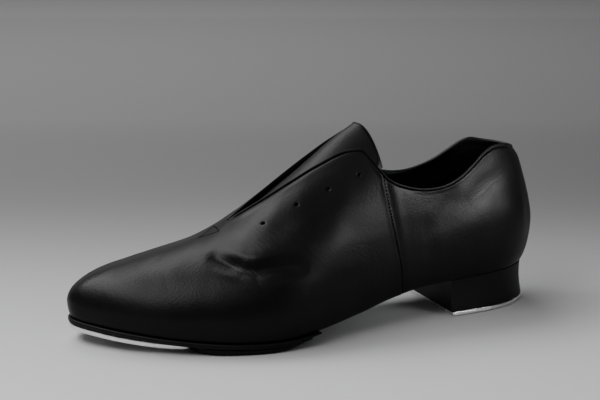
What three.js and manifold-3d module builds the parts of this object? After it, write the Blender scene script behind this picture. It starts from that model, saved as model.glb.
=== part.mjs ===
/*
 * Left tap shoe: a plain-toed lace-up in soft black leather, with a metal tap under toe and heel.
 * Millimetres. +X points to the toe, +Y to the outer side of the left foot, +Z up.
 * Inside the functions x = 0 is the back of the heel and z = 0 the floor. At the end the whole
 * shoe is moved so that the origin is at the bottom centre of its box.
 */
import * as THREE from 'three';
import { mergeVertices } from 'three/addons/utils/BufferGeometryUtils.js';
import Module from 'manifold-3d';

// Sizes of the whole shoe
const LENGTH = 282;
const SOLE_WIDTH = 94;
const INSTEP_RISE = 101;
const COLLAR_RISE = 70.5;
const HEEL_HEIGHT = 23.2;
const TOE_SPRING = 8.6;

// Leather, and how the pieces lie on one another
const WALL = 1.7;
const FRONT_STEP = 0.8;
const CLEARANCE = 0.3;
const LASTING_MARGIN = 12;
const PIPING_HEIGHT = 2.1;
const PIPING_SWELL = 0.35;
const TONGUE_THICKNESS = 1.6;
const TONGUE_HALF_WIDTH = 27;
const INSOLE_THICKNESS = 2;

// Sole, taps and heel. A layer's edges are rounded by EDGE_ROUND, and where it is skived thin only
// by THIN_EDGE_ROUND of its thickness. The toe tap's rear corners are rounded off in plan over
// TAP_CORNER along the shoe and TAP_CORNER_WIDTH of that across it. The heel block's sides draw in
// by HEEL_WAIST, on HEEL_WAIST_TURN of a sine's half wave
const SOLE_THICKNESS = 3;
const TAP_THICKNESS = 2.8;
const SKIVED_THICKNESS = 0.9;
const SKIVE_LENGTH = 26;
const EDGE_ROUND = 0.8;
const THIN_EDGE_ROUND = 0.4;
const TAP_GAP = 1;
const TAP_CORNER = 17;
const TAP_CORNER_WIDTH = 0.75;
const HEEL_LENGTH = 62;
const HEEL_WAIST = 1.7;
const HEEL_WAIST_TURN = 0.7;
const HEEL_TAP_THICKNESS = 2.4;

// Lace holes
const HOLE_RADIUS = 1;
const HOLE_SIDES = 12;

// Places along the shoe, as shares of its length from the back of the heel
const HEEL_CENTRE = 0.1206;
const TOE_CENTRE = 0.837;
const SEAM = 0.3865;
const CORNER = 0.424;
const THROAT_TIP = 0.671;
const THROAT_END = 0.68;
const SOLE_REAR = 0.546;
const PAD_REAR = 0.567;
const TAP_REAR = 0.797;

// The seam leans: its foot lies behind its top by SEAM_LEAN. Sections nearer to it than
// SEAM_REACH, a share of the length, lean with it
const SEAM_LEAN = 14.5;
const SEAM_REACH = 0.11;

// How far the step from back to front piece fades under the piping, a share of the length, and
// how softly collar line and facing run into each other at the corner, in radians of the section
const STEP_FADE = 0.03;
const CORNER_BLEND = 0.06;

// How fast the crest's fall fades out towards the toe's edge: the power of what is left to it
const TOE_FALL_FADE = 1.5;

// Sole outline, as shares of its width to the outer and the inner side
const PLAN = [
  { at: 0.00, outer: 0.000, inner: 0.000 },
  { at: 0.03, outer: 0.165, inner: -0.165 },
  { at: 0.07, outer: 0.245, inner: -0.239 },
  { at: 0.13, outer: 0.293, inner: -0.287 },
  { at: 0.20, outer: 0.314, inner: -0.303 },
  { at: 0.28, outer: 0.330, inner: -0.287 },
  { at: 0.36, outer: 0.362, inner: -0.255 },
  { at: 0.44, outer: 0.410, inner: -0.239 },
  { at: 0.52, outer: 0.473, inner: -0.261 },
  { at: 0.60, outer: 0.527, inner: -0.319 },
  { at: 0.67, outer: 0.527, inner: -0.388 },
  { at: 0.73, outer: 0.484, inner: -0.441 },
  { at: 0.80, outer: 0.394, inner: -0.473 },
  { at: 0.87, outer: 0.271, inner: -0.468 },
  { at: 0.93, outer: 0.128, inner: -0.420 },
  { at: 0.97, outer: -0.011, inner: -0.351 },
  { at: 1.00, outer: -0.181, inner: -0.181 },
];

// Side view. heel and toe: shares of the heel's rise and of the toe spring at the feather line.
// ridge: height of the crest over that line, a share of the instep's rise, and crest: its place
// across the shoe, a share of the sole's width
const SIDE = [
  { at: 0.00, heel: 1.000, toe: 0.000, ridge: 1.074, crest: 0.000 },
  { at: 0.12, heel: 0.971, toe: 0.000, ridge: 1.089, crest: 0.000 },
  { at: 0.22, heel: 0.912, toe: 0.000, ridge: 1.109, crest: 0.006 },
  { at: 0.30, heel: 0.795, toe: 0.000, ridge: 1.099, crest: 0.005 },
  { at: 0.38, heel: 0.532, toe: 0.000, ridge: 1.059, crest: -0.005 },
  { at: 0.44, heel: 0.298, toe: 0.000, ridge: 1.000, crest: -0.011 },
  { at: 0.50, heel: 0.152, toe: 0.000, ridge: 0.906, crest: -0.011 },
  { at: 0.56, heel: 0.058, toe: 0.000, ridge: 0.799, crest: -0.011 },
  { at: 0.62, heel: 0.000, toe: 0.000, ridge: 0.693, crest: -0.011 },
  { at: 0.68, heel: 0.000, toe: 0.000, ridge: 0.583, crest: -0.016 },
  { at: 0.74, heel: 0.000, toe: 0.052, ridge: 0.494, crest: -0.032 },
  { at: 0.79, heel: 0.000, toe: 0.163, ridge: 0.440, crest: -0.059 },
  { at: 0.84, heel: 0.000, toe: 0.302, ridge: 0.388, crest: -0.096 },
  { at: 0.92, heel: 0.000, toe: 0.593, ridge: 0.300, crest: -0.138 },
  { at: 1.00, heel: 0.000, toe: 1.000, ridge: 0.178, crest: -0.181 },
];

// Sections of the form. inset: feather line inside the sole's edge, and outer and inner: bulge of
// the wall over it, shares of the sole's width. height: of the widest place over the feather
// line, a share of the instep's rise. shoulder and foot: how square the curves over and under
// the widest place are, 2 for an ellipse
const FORM = [
  { at: 0.00, inset: 0.021, outer: 0.075, inner: 0.075, height: 0.257, shoulder: 1.45, foot: 1.6 },
  { at: 0.06, inset: 0.016, outer: 0.068, inner: 0.068, height: 0.248, shoulder: 1.50, foot: 1.6 },
  { at: 0.13, inset: 0.011, outer: 0.056, inner: 0.056, height: 0.228, shoulder: 1.64, foot: 1.6 },
  { at: 0.24, inset: 0.011, outer: 0.042, inner: 0.053, height: 0.208, shoulder: 1.80, foot: 1.6 },
  { at: 0.34, inset: 0.032, outer: 0.042, inner: 0.053, height: 0.198, shoulder: 1.85, foot: 1.6 },
  { at: 0.46, inset: 0.042, outer: 0.042, inner: 0.064, height: 0.178, shoulder: 1.80, foot: 1.6 },
  { at: 0.60, inset: 0.021, outer: 0.032, inner: 0.042, height: 0.149, shoulder: 1.80, foot: 1.8 },
  { at: 0.75, inset: 0.021, outer: 0.027, inner: 0.037, height: 0.119, shoulder: 1.85, foot: 2.0 },
  { at: 0.90, inset: 0.021, outer: 0.021, inner: 0.032, height: 0.089, shoulder: 1.85, foot: 2.0 },
  { at: 1.00, inset: 0.021, outer: 0.021, inner: 0.021, height: 0.079, shoulder: 1.80, foot: 2.0 },
];

// Top line of collar and facings over the feather line, as shares of the collar's rise
const COLLAR = [
  { at: 0.000, outer: 1.020, inner: 1.020 },
  { at: 0.020, outer: 1.042, inner: 1.026 },
  { at: 0.060, outer: 1.084, inner: 1.036 },
  { at: 0.088, outer: 1.096, inner: 1.048 },
  { at: 0.115, outer: 1.092, inner: 1.012 },
  { at: 0.140, outer: 1.052, inner: 0.944 },
  { at: 0.170, outer: 0.968, inner: 0.868 },
  { at: 0.200, outer: 0.893, inner: 0.825 },
  { at: 0.230, outer: 0.849, inner: 0.806 },
  { at: 0.280, outer: 0.843, inner: 0.836 },
  { at: 0.330, outer: 0.914, inner: 0.940 },
  { at: 0.362, outer: 1.000, inner: 1.068 },
  { at: 0.386, outer: 1.118, inner: 1.218 },
  { at: 0.410, outer: 1.285, inner: 1.390 },
  { at: 0.435, outer: 1.460, inner: 1.577 },
  { at: 0.460, outer: 1.650, inner: 1.765 },
];

// Half of the throat's gap on each side of the crest, as shares of the sole's width
const THROAT = [
  { at: 0.360, outer: 0.240, inner: 0.117 },
  { at: 0.410, outer: 0.194, inner: 0.092 },
  { at: 0.440, outer: 0.166, inner: 0.083 },
  { at: 0.500, outer: 0.131, inner: 0.069 },
  { at: 0.560, outer: 0.094, inner: 0.051 },
  { at: 0.620, outer: 0.053, inner: 0.031 },
  { at: 0.671, outer: 0.006, inner: 0.006 },
  { at: 0.680, outer: 0.000, inner: 0.000 },
];

// Lace holes of the outer facing: their distance from the crest as a share of the sole's width
const LACE_HOLES = [
  { at: 0.4300, out: 0.267 },
  { at: 0.4975, out: 0.268 },
  { at: 0.5655, out: 0.251 },
  { at: 0.6355, out: 0.231 },
];

// Tongue, from its front end under the vamp to its top: half width as a share of its widest.
// TONGUE_SPREAD is the most that it may take of the form's own half width. Its top edge sweeps
// back to the sides by TONGUE_SWEEP, on a curve with the power TONGUE_SWEEP_CURVE
const TONGUE = [
  { at: 0.00, half: 0.30 },
  { at: 0.15, half: 0.62 },
  { at: 0.40, half: 0.86 },
  { at: 0.75, half: 1.00 },
  { at: 0.92, half: 1.00 },
  { at: 1.00, half: 0.93 },
];
const TONGUE_FRONT = 0.7;
const TONGUE_TOP = 0.403;
const TONGUE_SWEEP = 8.8;
const TONGUE_SWEEP_CURVE = 1.15;
const TONGUE_SPREAD = 0.8;

// Counts of sections and rows
const HEEL_SECTIONS = 8;
const SIDE_SECTIONS = 30;
const TOE_SECTIONS = 9;
const FOOT_ROWS = 4;
const SHOULDER_ROWS = 9;
const TONGUE_ROWS = 16;
const TONGUE_COLUMNS = 10;

// Least distance between sections, between those around the corner, and between a section and
// the end of a layer, as shares of the length
const SECTION_GAP = 0.0077;
const CORNER_GAP = 0.011;
const END_GAP = 0.004;

// Half steps over which slopes are read off the form, a share of the length and millimetres, and
// how near to the form's side they may be read. WELD joins points closer than this
const CREST_PROBE = 0.008;
const SURFACE_PROBE = 0.5;
const SIDE_LIMIT = 0.98;
const WELD = 1e-3;

const OUTER = 'outer';
const INNER = 'inner';
const STACK = TAP_THICKNESS + SOLE_THICKNESS + 2 * CLEARANCE;
const PAD_FLAT = PAD_REAR + SKIVE_LENGTH / LENGTH;
const FRONT_WALL = WALL + FRONT_STEP;

// Smooth curve through a column of a table whose row places are already in increasing order
function curve(rows, column, place, placeOf) {
  let i = 1;
  while (i < rows.length - 1 && place > placeOf(rows[i].at)) {
    i += 1;
  }
  const step = (k) => placeOf(rows[k + 1].at) - placeOf(rows[k].at);
  const slope = (k) => (rows[k + 1][column] - rows[k][column]) / step(k);
  const bend = (k) => {
    if (k === 0) {
      return slope(0);
    }
    if (k === rows.length - 1) {
      return slope(k - 1);
    }
    return (slope(k - 1) * step(k) + slope(k) * step(k - 1)) / (step(k - 1) + step(k));
  };
  const h = step(i - 1);
  const t = THREE.MathUtils.clamp((place - placeOf(rows[i - 1].at)) / h, 0, 1);
  const rest = 1 - t;
  const start = rows[i - 1][column] * (1 + 2 * t) * rest * rest;
  const end = rows[i][column] * (3 - 2 * t) * t * t;
  return start + end + h * t * rest * (bend(i - 1) * rest - bend(i) * t);
}

// Shares of the length turned into an angle, so that a table is finest at heel and toe
const turn = (share) => Math.acos(THREE.MathUtils.clamp(1 - 2 * share, -1, 1)) / Math.PI;
const along = (rows, column, share) => curve(rows, column, turn(share), turn);
const plain = (rows, column, share) => curve(rows, column, share, (at) => at);
const smooth = (t) => THREE.MathUtils.smoothstep(t, 0, 1);

// Height of the line where upper and sole meet
function feather(share) {
  const heelRise = (HEEL_HEIGHT + CLEARANCE - STACK) * Math.max(0, along(SIDE, 'heel', share));
  const toeRise = TOE_SPRING * Math.max(0, along(SIDE, 'toe', share));
  return STACK + heelRise + toeRise;
}

// The section plane at a share of the length: straight across along the sides, and turning about
// a centre at the heel and at the toe. Gives the centre, the direction outwards and the reach
// from the centre to the sole's edge
function plane(share, side) {
  const centreShare = THREE.MathUtils.clamp(share, HEEL_CENTRE, TOE_CENTRE);
  const crest = along(SIDE, 'crest', centreShare) * SOLE_WIDTH;
  const centre = new THREE.Vector2(centreShare * LENGTH, crest);
  const edge = new THREE.Vector2(share * LENGTH, along(PLAN, side, share) * SOLE_WIDTH);
  const out = edge.clone().sub(centre);
  const reach = out.length();
  out.divideScalar(reach);
  return { centre, centreShare, out, reach };
}

// Sizes of one section of the form
function section(share, side) {
  const p = plane(share, side);
  const low = feather(share);
  const bulge = along(FORM, side, share) * SOLE_WIDTH;
  const wide = p.reach - along(FORM, 'inset', share) * SOLE_WIDTH + bulge;
  const middle = low + along(FORM, 'height', share) * INSTEP_RISE;
  const top = feather(p.centreShare) + along(SIDE, 'ridge', p.centreShare) * INSTEP_RISE;
  const shoulder = along(FORM, 'shoulder', share);
  const foot = along(FORM, 'foot', share);
  return { ...p, share, side, low, bulge, wide, middle, top, shoulder, foot };
}

// Fall of the crest at the toe's centre, which the toe sections carry on
function toeSlope() {
  const height = (share) => feather(share) + along(SIDE, 'ridge', share) * INSTEP_RISE;
  const rise = height(TOE_CENTRE + CREST_PROBE) - height(TOE_CENTRE - CREST_PROBE);
  return rise / (2 * CREST_PROBE * LENGTH);
}
const TOE_SLOPE = toeSlope();

// Where a section ends below the opening: the angle on its shoulder. drop moves the end away
// from the opening's edge
function endAngle(s, drop) {
  if (s.share >= THROAT_END) {
    return Math.PI / 2;
  }
  const rise = s.top - s.middle;
  const gap = Math.max(0, plain(THROAT, s.side, s.share)) * SOLE_WIDTH + drop;
  const byGap = Math.acos(THREE.MathUtils.clamp(gap / s.wide, 0, 1) ** (s.shoulder / 2));
  if (s.share > COLLAR.at(-1).at) {
    return byGap;
  }
  const line = feather(s.share) + plain(COLLAR, s.side, s.share) * COLLAR_RISE - drop;
  const byLine = Math.asin(THREE.MathUtils.clamp((line - s.middle) / rise, 0, 1) ** (s.shoulder / 2));
  if (s.share < THROAT[0].at) {
    return byLine;
  }
  const mix = THREE.MathUtils.clamp(0.5 + 0.5 * (byLine - byGap) / CORNER_BLEND, 0, 1);
  return byLine * (1 - mix) + byGap * mix - CORNER_BLEND * mix * (1 - mix);
}

// Point on a section: at an angle on its shoulder, at a depth inside the surface
function shoulderPoint(s, angle, depth) {
  const level = Math.sin(angle) ** (2 / s.shoulder);
  const spread = Math.max(0, Math.cos(angle)) ** (2 / s.shoulder);
  const r = (s.wide - depth) * spread;
  let z = s.middle + (s.top - depth - s.middle) * level;
  if (s.share > TOE_CENTRE) {
    z += TOE_SLOPE * s.out.x * s.wide * spread * (1 - spread) ** TOE_FALL_FADE;
  }
  return new THREE.Vector3(s.centre.x + s.out.x * r, s.centre.y + s.out.y * r, z);
}

// Point on a section under its widest place: t runs from the feather line to the widest place,
// and lift is the height of the line's own point over the sole's top
function footPoint(s, t, depth, lift) {
  const level = Math.sin(t * Math.PI / 2);
  const tuck = s.bulge * (1 - (1 - (1 - level) ** s.foot) ** (1 / s.foot));
  const r = s.wide - depth - tuck;
  const x = s.centre.x + s.out.x * r;
  const low = feather(x / LENGTH) + lift;
  return new THREE.Vector3(x, s.centre.y + s.out.y * r, low + (s.middle - low) * level);
}

// The seam between front and back piece leans back towards the sole, and takes the sections
// near it along
function leaned(share, rise) {
  const near = Math.max(0, 1 - Math.abs(share - SEAM) / SEAM_REACH);
  return share - (SEAM_LEAN / LENGTH) * smooth(near) * (1 - rise);
}

// One column of the upper from the edge of its lasting margin to the opening. Where the margins
// meet under the waist, the column starts at the centre
function column(share, side, depth, lift, closed) {
  const base = section(leaned(share, 0), side);
  const reach = closed ? 0 : base.wide - base.bulge - LASTING_MARGIN;
  const x = base.centre.x + base.out.x * reach;
  const margin = new THREE.Vector3(x, base.centre.y + base.out.y * reach, feather(x / LENGTH) + lift);
  const points = [margin];
  for (let row = 0; row <= FOOT_ROWS; row += 1) {
    const rise = row / (FOOT_ROWS + SHOULDER_ROWS);
    points.push(footPoint(section(leaned(share, rise), side), row / FOOT_ROWS, depth, lift));
  }
  for (let row = 1; row <= SHOULDER_ROWS; row += 1) {
    const rise = (FOOT_ROWS + row) / (FOOT_ROWS + SHOULDER_ROWS);
    const s = section(leaned(share, rise), side);
    const end = endAngle(s, PIPING_HEIGHT + CLEARANCE);
    points.push(shoulderPoint(s, end * row / SHOULDER_ROWS, depth));
  }
  return points;
}

// Shares of the length where the sections lie: finer at heel and toe, and one on each place
// that something starts or ends
function sectionShares() {
  const shares = [];
  for (let i = 0; i < HEEL_SECTIONS; i += 1) {
    shares.push(HEEL_CENTRE * (1 - Math.cos(i / HEEL_SECTIONS * Math.PI / 2)));
  }
  for (let i = 0; i <= SIDE_SECTIONS; i += 1) {
    shares.push(HEEL_CENTRE + (TOE_CENTRE - HEEL_CENTRE) * i / SIDE_SECTIONS);
  }
  for (let i = 1; i <= TOE_SECTIONS; i += 1) {
    shares.push(TOE_CENTRE + (1 - TOE_CENTRE) * Math.sin(i / TOE_SECTIONS * Math.PI / 2));
  }
  const corner = [-2, -1, 0, 1].map((step) => CORNER + step * CORNER_GAP);
  const places = [SEAM, ...corner, PAD_FLAT, THROAT_TIP, THROAT_END];
  const kept = shares.filter((share) => places.every((place) => Math.abs(share - place) > SECTION_GAP));
  return [...kept, ...places].sort((a, b) => a - b);
}

// A closed mesh from corner points and faces given as loops of point numbers
function closedGeometry(points, loops) {
  const raw = new THREE.BufferGeometry();
  const places = points.flatMap((p) => p.toArray());
  const fan = (loop) => loop.slice(2).flatMap((_, i) => [loop[0], loop[i + 1], loop[i + 2]]);
  raw.setAttribute('position', new THREE.Float32BufferAttribute(places, 3));
  raw.setIndex(loops.flatMap(fan));
  const merged = mergeVertices(raw, WELD);
  const place = merged.getAttribute('position');
  const index = merged.getIndex().array;
  const kept = [];
  let volume = 0;
  for (let i = 0; i < index.length; i += 3) {
    const [a, b, c] = [index[i], index[i + 1], index[i + 2]];
    if (a !== b && b !== c && c !== a) {
      kept.push(a, b, c);
      const [pa, pb, pc] = [a, b, c].map((k) => new THREE.Vector3().fromBufferAttribute(place, k));
      volume += pa.dot(pb.cross(pc));
    }
  }
  if (volume < 0) {
    kept.reverse();
  }
  merged.setIndex(kept);
  return merged;
}

// Faces of a grid of rows by columns; wrap joins its last column to its first
function gridFaces(columns, rows, start, wrap, flip) {
  const loops = [];
  for (let i = 0; i < (wrap ? columns : columns - 1); i += 1) {
    const next = (i + 1) % columns;
    for (let j = 0; j < rows - 1; j += 1) {
      const a = start + i * rows + j;
      const b = start + next * rows + j;
      loops.push(flip ? [a + 1, b + 1, b, a] : [a, b, b + 1, a + 1]);
    }
  }
  return loops;
}

// Upper: one wall around the whole form, open at collar, throat and, over heel and front sole,
// underneath. In the waist its lasting margins meet and close it
function upperGeometry() {
  const shares = sectionShares();
  const seamAt = shares.indexOf(SEAM);
  const ring = [];
  const add = (i, side) => {
    if (i === seamAt) {
      const back = { share: SEAM, side, front: false };
      const front = { share: SEAM + CLEARANCE / LENGTH, side, front: true };
      ring.push(...(side === OUTER ? [back, front] : [front, back]));
    } else {
      ring.push({ share: shares[i], side, front: i > seamAt });
    }
  };
  for (let i = 0; i < shares.length; i += 1) {
    add(i, OUTER);
  }
  for (let i = shares.length - 2; i > 0; i -= 1) {
    add(i, INNER);
  }
  const waistStart = (HEEL_LENGTH - LASTING_MARGIN / 2) / LENGTH;
  const waistEnd = SOLE_REAR + LASTING_MARGIN / LENGTH;
  const waist = (c) => c.share > waistStart && c.share < waistEnd;
  const rows = FOOT_ROWS + SHOULDER_ROWS + 2;
  const outside = ring.flatMap((c) => column(c.share, c.side, c.front ? 0 : FRONT_STEP, 0, waist(c)));
  const inside = ring.flatMap((c) => column(c.share, c.side, FRONT_WALL, WALL, waist(c)));
  const count = ring.length;
  const loops = [
    ...gridFaces(count, rows, 0, true, false),
    ...gridFaces(count, rows, count * rows, true, true),
  ];
  for (let k = 0; k < count; k += 1) {
    const next = (k + 1) % count;
    const open = ring[k].share < THROAT_END || ring[next].share < THROAT_END;
    const [a, b] = [k * rows, next * rows];
    const inner = count * rows;
    if (open) {
      const top = rows - 1;
      loops.push([b + top, b + top + inner, a + top + inner, a + top]);
    }
    if (!waist(ring[k]) || !waist(ring[next])) {
      loops.push([a, a + inner, b + inner, b]);
    }
  }
  return closedGeometry([...outside, ...inside], loops);
}

// Height of the form over a place in plan, from the section there
function formHeight(x, y) {
  const share = x / LENGTH;
  const crest = along(SIDE, 'crest', share) * SOLE_WIDTH;
  const s = section(share, y > crest ? OUTER : INNER);
  const spread = Math.min(Math.abs(y - crest) / s.wide, SIDE_LIMIT);
  return s.middle + (s.top - s.middle) * (1 - spread ** s.shoulder) ** (1 / s.shoulder);
}

// Point at a depth under the form's top surface, square to it
function underForm(x, y, depth) {
  const d = SURFACE_PROBE;
  const slopeX = (formHeight(x + d, y) - formHeight(x - d, y)) / (2 * d);
  const slopeY = (formHeight(x, y + d) - formHeight(x, y - d)) / (2 * d);
  const normal = new THREE.Vector3(-slopeX, -slopeY, 1).normalize();
  return new THREE.Vector3(x, y, formHeight(x, y)).addScaledVector(normal, -depth);
}

// Tongue: a sheet under the facings that follows the form and stands out over the collar
function tongueGeometry() {
  const depth = FRONT_WALL + PIPING_SWELL + CLEARANCE;
  const front = TONGUE_FRONT * LENGTH;
  const sheet = (level) => {
    const points = [];
    for (let i = 0; i <= TONGUE_ROWS; i += 1) {
      const t = i / TONGUE_ROWS;
      const half = plain(TONGUE, 'half', t) * TONGUE_HALF_WIDTH;
      for (let j = 0; j <= TONGUE_COLUMNS; j += 1) {
        const across = 2 * j / TONGUE_COLUMNS - 1;
        const top = TONGUE_TOP * LENGTH - TONGUE_SWEEP * Math.abs(across) ** TONGUE_SWEEP_CURVE;
        const x = front + (top - front) * t;
        const crest = along(SIDE, 'crest', x / LENGTH) * SOLE_WIDTH;
        const room = section(x / LENGTH, across > 0 ? OUTER : INNER).wide * TONGUE_SPREAD;
        points.push(underForm(x, crest + across * Math.min(half, room), level));
      }
    }
    return points;
  };
  const columns = TONGUE_ROWS + 1;
  const rows = TONGUE_COLUMNS + 1;
  const total = columns * rows;
  const loops = [
    ...gridFaces(columns, rows, 0, false, false),
    ...gridFaces(columns, rows, total, false, true),
  ];
  const rim = [];
  for (let i = 0; i < columns; i += 1) {
    rim.push(i * rows);
  }
  for (let j = 1; j < rows; j += 1) {
    rim.push((columns - 1) * rows + j);
  }
  for (let i = columns - 2; i >= 0; i -= 1) {
    rim.push(i * rows + rows - 1);
  }
  for (let j = rows - 2; j > 0; j -= 1) {
    rim.push(j);
  }
  rim.forEach((a, k) => {
    const b = rim[(k + 1) % rim.length];
    loops.push([b, a, a + total, b + total]);
  });
  return closedGeometry([...sheet(depth), ...sheet(depth + TONGUE_THICKNESS)], loops);
}

// Piping: a rolled strip on the upper's edge, from the foot of the throat around the collar and
// back. Its section is given in shares of its height and millimetres of depth
function pipingGeometry() {
  const stops = sectionShares().filter((share) => share <= THROAT_TIP);
  stops[stops.length - 1] -= CLEARANCE / LENGTH;
  const path = [
    ...stops.slice(1).reverse().map((share) => ({ share, side: OUTER })),
    ...stops.map((share) => ({ share, side: INNER })),
  ];
  const profile = (back) => [
    [0, back],
    [0.3, back - PIPING_SWELL],
    [0.75, back - PIPING_SWELL],
    [1, back + FRONT_WALL * 0.25],
    [1, FRONT_WALL * 0.75],
    [0.75, FRONT_WALL + PIPING_SWELL],
    [0.3, FRONT_WALL + PIPING_SWELL],
    [0, FRONT_WALL],
  ];
  const points = [];
  for (const { share, side } of path) {
    const s = section(share, side);
    const foot = endAngle(s, PIPING_HEIGHT);
    const tip = endAngle(s, 0);
    const back = FRONT_STEP * (1 - smooth((share - SEAM) / STEP_FADE + 0.5));
    for (const [t, depth] of profile(back)) {
      points.push(shoulderPoint(s, foot + (tip - foot) * t, depth));
    }
  }
  const rows = 8;
  const loops = [];
  for (let i = 0; i < path.length - 1; i += 1) {
    for (let j = 0; j < rows; j += 1) {
      const next = (j + 1) % rows;
      loops.push([i * rows + j, (i + 1) * rows + j, (i + 1) * rows + next, i * rows + next]);
    }
  }
  const end = (path.length - 1) * rows;
  loops.push([...Array(rows).keys()]);
  loops.push([...Array(rows).keys()].map((j) => end + j).reverse());
  return closedGeometry(points, loops);
}

// A layer of the sole between two shares of the length. rows gives, from its underside to its
// top, how far each edge line lies inside the sole's outline, and its height
function layerGeometry(start, end, rows) {
  const inside = sectionShares().filter((share) => share > start + END_GAP && share < end - END_GAP);
  const shares = [start, ...inside, end];
  const points = [];
  for (const share of shares) {
    for (const row of rows) {
      for (const side of [OUTER, INNER]) {
        const p = plane(share, side);
        const r = p.reach - row.inset(share, side);
        const x = p.centre.x + p.out.x * r;
        points.push(new THREE.Vector3(x, p.centre.y + p.out.y * r, row.height(x / LENGTH)));
      }
    }
  }
  const size = 2 * rows.length;
  const at = (i, j, side) => i * size + 2 * j + side;
  const top = rows.length - 1;
  const loops = [];
  for (let i = 0; i < shares.length - 1; i += 1) {
    loops.push([at(i, 0, 0), at(i, 0, 1), at(i + 1, 0, 1), at(i + 1, 0, 0)]);
    loops.push([at(i, top, 0), at(i + 1, top, 0), at(i + 1, top, 1), at(i, top, 1)]);
    for (let j = 0; j < top; j += 1) {
      loops.push([at(i, j, 0), at(i + 1, j, 0), at(i + 1, j + 1, 0), at(i, j + 1, 0)]);
      loops.push([at(i, j, 1), at(i, j + 1, 1), at(i + 1, j + 1, 1), at(i + 1, j, 1)]);
    }
  }
  for (let j = 0; j < top; j += 1) {
    loops.push([at(0, j, 0), at(0, j + 1, 0), at(0, j + 1, 1), at(0, j, 1)]);
    const i = shares.length - 1;
    loops.push([at(i, j, 0), at(i, j, 1), at(i, j + 1, 1), at(i, j + 1, 0)]);
  }
  return closedGeometry(points, loops);
}

// Thickness of a layer that is skived thin towards its rear end
function skived(thickness, rear, share) {
  const t = smooth((share - rear) * LENGTH / SKIVE_LENGTH);
  return SKIVED_THICKNESS + (thickness - SKIVED_THICKNESS) * t;
}

function outsoleGeometry() {
  const top = (share) => feather(share) - CLEARANCE;
  const thickness = (share) => skived(SOLE_THICKNESS, SOLE_REAR, share);
  const round = (share) => Math.min(EDGE_ROUND, thickness(share) * THIN_EDGE_ROUND);
  const under = (share) => top(share) - thickness(share);
  return layerGeometry(SOLE_REAR, 1, [
    { inset: () => EDGE_ROUND, height: under },
    { inset: () => 0, height: (share) => under(share) + round(share) },
    { inset: () => 0, height: (share) => top(share) - round(share) },
    { inset: () => EDGE_ROUND, height: top },
  ]);
}

// Underside of the outsole, where pad and tap lie
const tread = (share) => feather(share) - 2 * CLEARANCE - SOLE_THICKNESS;

function padGeometry() {
  const front = TAP_REAR - TAP_GAP / LENGTH;
  const lift = (share) => SOLE_THICKNESS - skived(SOLE_THICKNESS, SOLE_REAR, share);
  const top = (share) => tread(share) + lift(share);
  const under = (share) => top(share) - skived(TAP_THICKNESS, PAD_REAR, share);
  return layerGeometry(PAD_REAR, front, [
    { inset: () => 2 * EDGE_ROUND, height: under },
    { inset: () => EDGE_ROUND, height: (share) => under(share) + EDGE_ROUND / 2 },
    { inset: () => EDGE_ROUND, height: top },
  ]);
}

// Tap under the toe: its two rear corners are rounded off
function toeTapGeometry() {
  const corner = (share) => {
    const into = THREE.MathUtils.clamp(1 - (share - TAP_REAR) * LENGTH / TAP_CORNER, 0, 1);
    return TAP_CORNER * (1 - Math.sqrt(1 - into ** 2)) * TAP_CORNER_WIDTH;
  };
  const under = (share) => tread(share) - TAP_THICKNESS;
  const side = (share) => EDGE_ROUND / 2 + corner(share);
  return layerGeometry(TAP_REAR, 1, [
    { inset: (share) => EDGE_ROUND + corner(share), height: under },
    { inset: side, height: (share) => under(share) + EDGE_ROUND / 2 },
    { inset: side, height: tread },
  ]);
}

function insoleGeometry() {
  const under = (share) => feather(share) + WALL + CLEARANCE;
  const inset = (share) => along(FORM, 'inset', share) * SOLE_WIDTH + FRONT_WALL + CLEARANCE;
  return layerGeometry(0, 1, [
    { inset, height: under },
    { inset, height: (share) => under(share) + INSOLE_THICKNESS },
  ]);
}

function heelBlockGeometry() {
  const low = HEEL_TAP_THICKNESS + CLEARANCE;
  const top = (share) => feather(share) - CLEARANCE;
  const height = (t) => (share) => low + (top(share) - low) * t;
  const waist = (t) => () => EDGE_ROUND / 2 + HEEL_WAIST * Math.sin(t * Math.PI * HEEL_WAIST_TURN);
  const rows = [0, 0.25, 0.5, 0.75, 1].map((t) => ({ inset: waist(t), height: height(t) }));
  return layerGeometry(0, HEEL_LENGTH / LENGTH, rows);
}

function heelTapGeometry() {
  return layerGeometry(0, (HEEL_LENGTH - TAP_GAP) / LENGTH, [
    { inset: () => EDGE_ROUND, height: () => 0 },
    { inset: () => EDGE_ROUND / 2, height: () => EDGE_ROUND / 2 },
    { inset: () => EDGE_ROUND / 2, height: () => HEEL_TAP_THICKNESS },
  ]);
}

const wasm = await Module();
wasm.setup();

function toManifold(geometry) {
  const shape = geometry.clone();
  shape.deleteAttribute('normal');
  shape.deleteAttribute('uv');
  const welded = mergeVertices(shape, WELD);
  const vertProperties = new Float32Array(welded.getAttribute('position').array);
  const triVerts = new Uint32Array(welded.getIndex().array);
  return new wasm.Manifold(new wasm.Mesh({ numProp: 3, vertProperties, triVerts }));
}

function fromManifold(solid) {
  const mesh = solid.getMesh();
  const geometry = new THREE.BufferGeometry();
  geometry.setAttribute('position', new THREE.Float32BufferAttribute(mesh.vertProperties, 3));
  geometry.setIndex(new THREE.Uint32BufferAttribute(mesh.triVerts, 1));
  return geometry;
}

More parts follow.
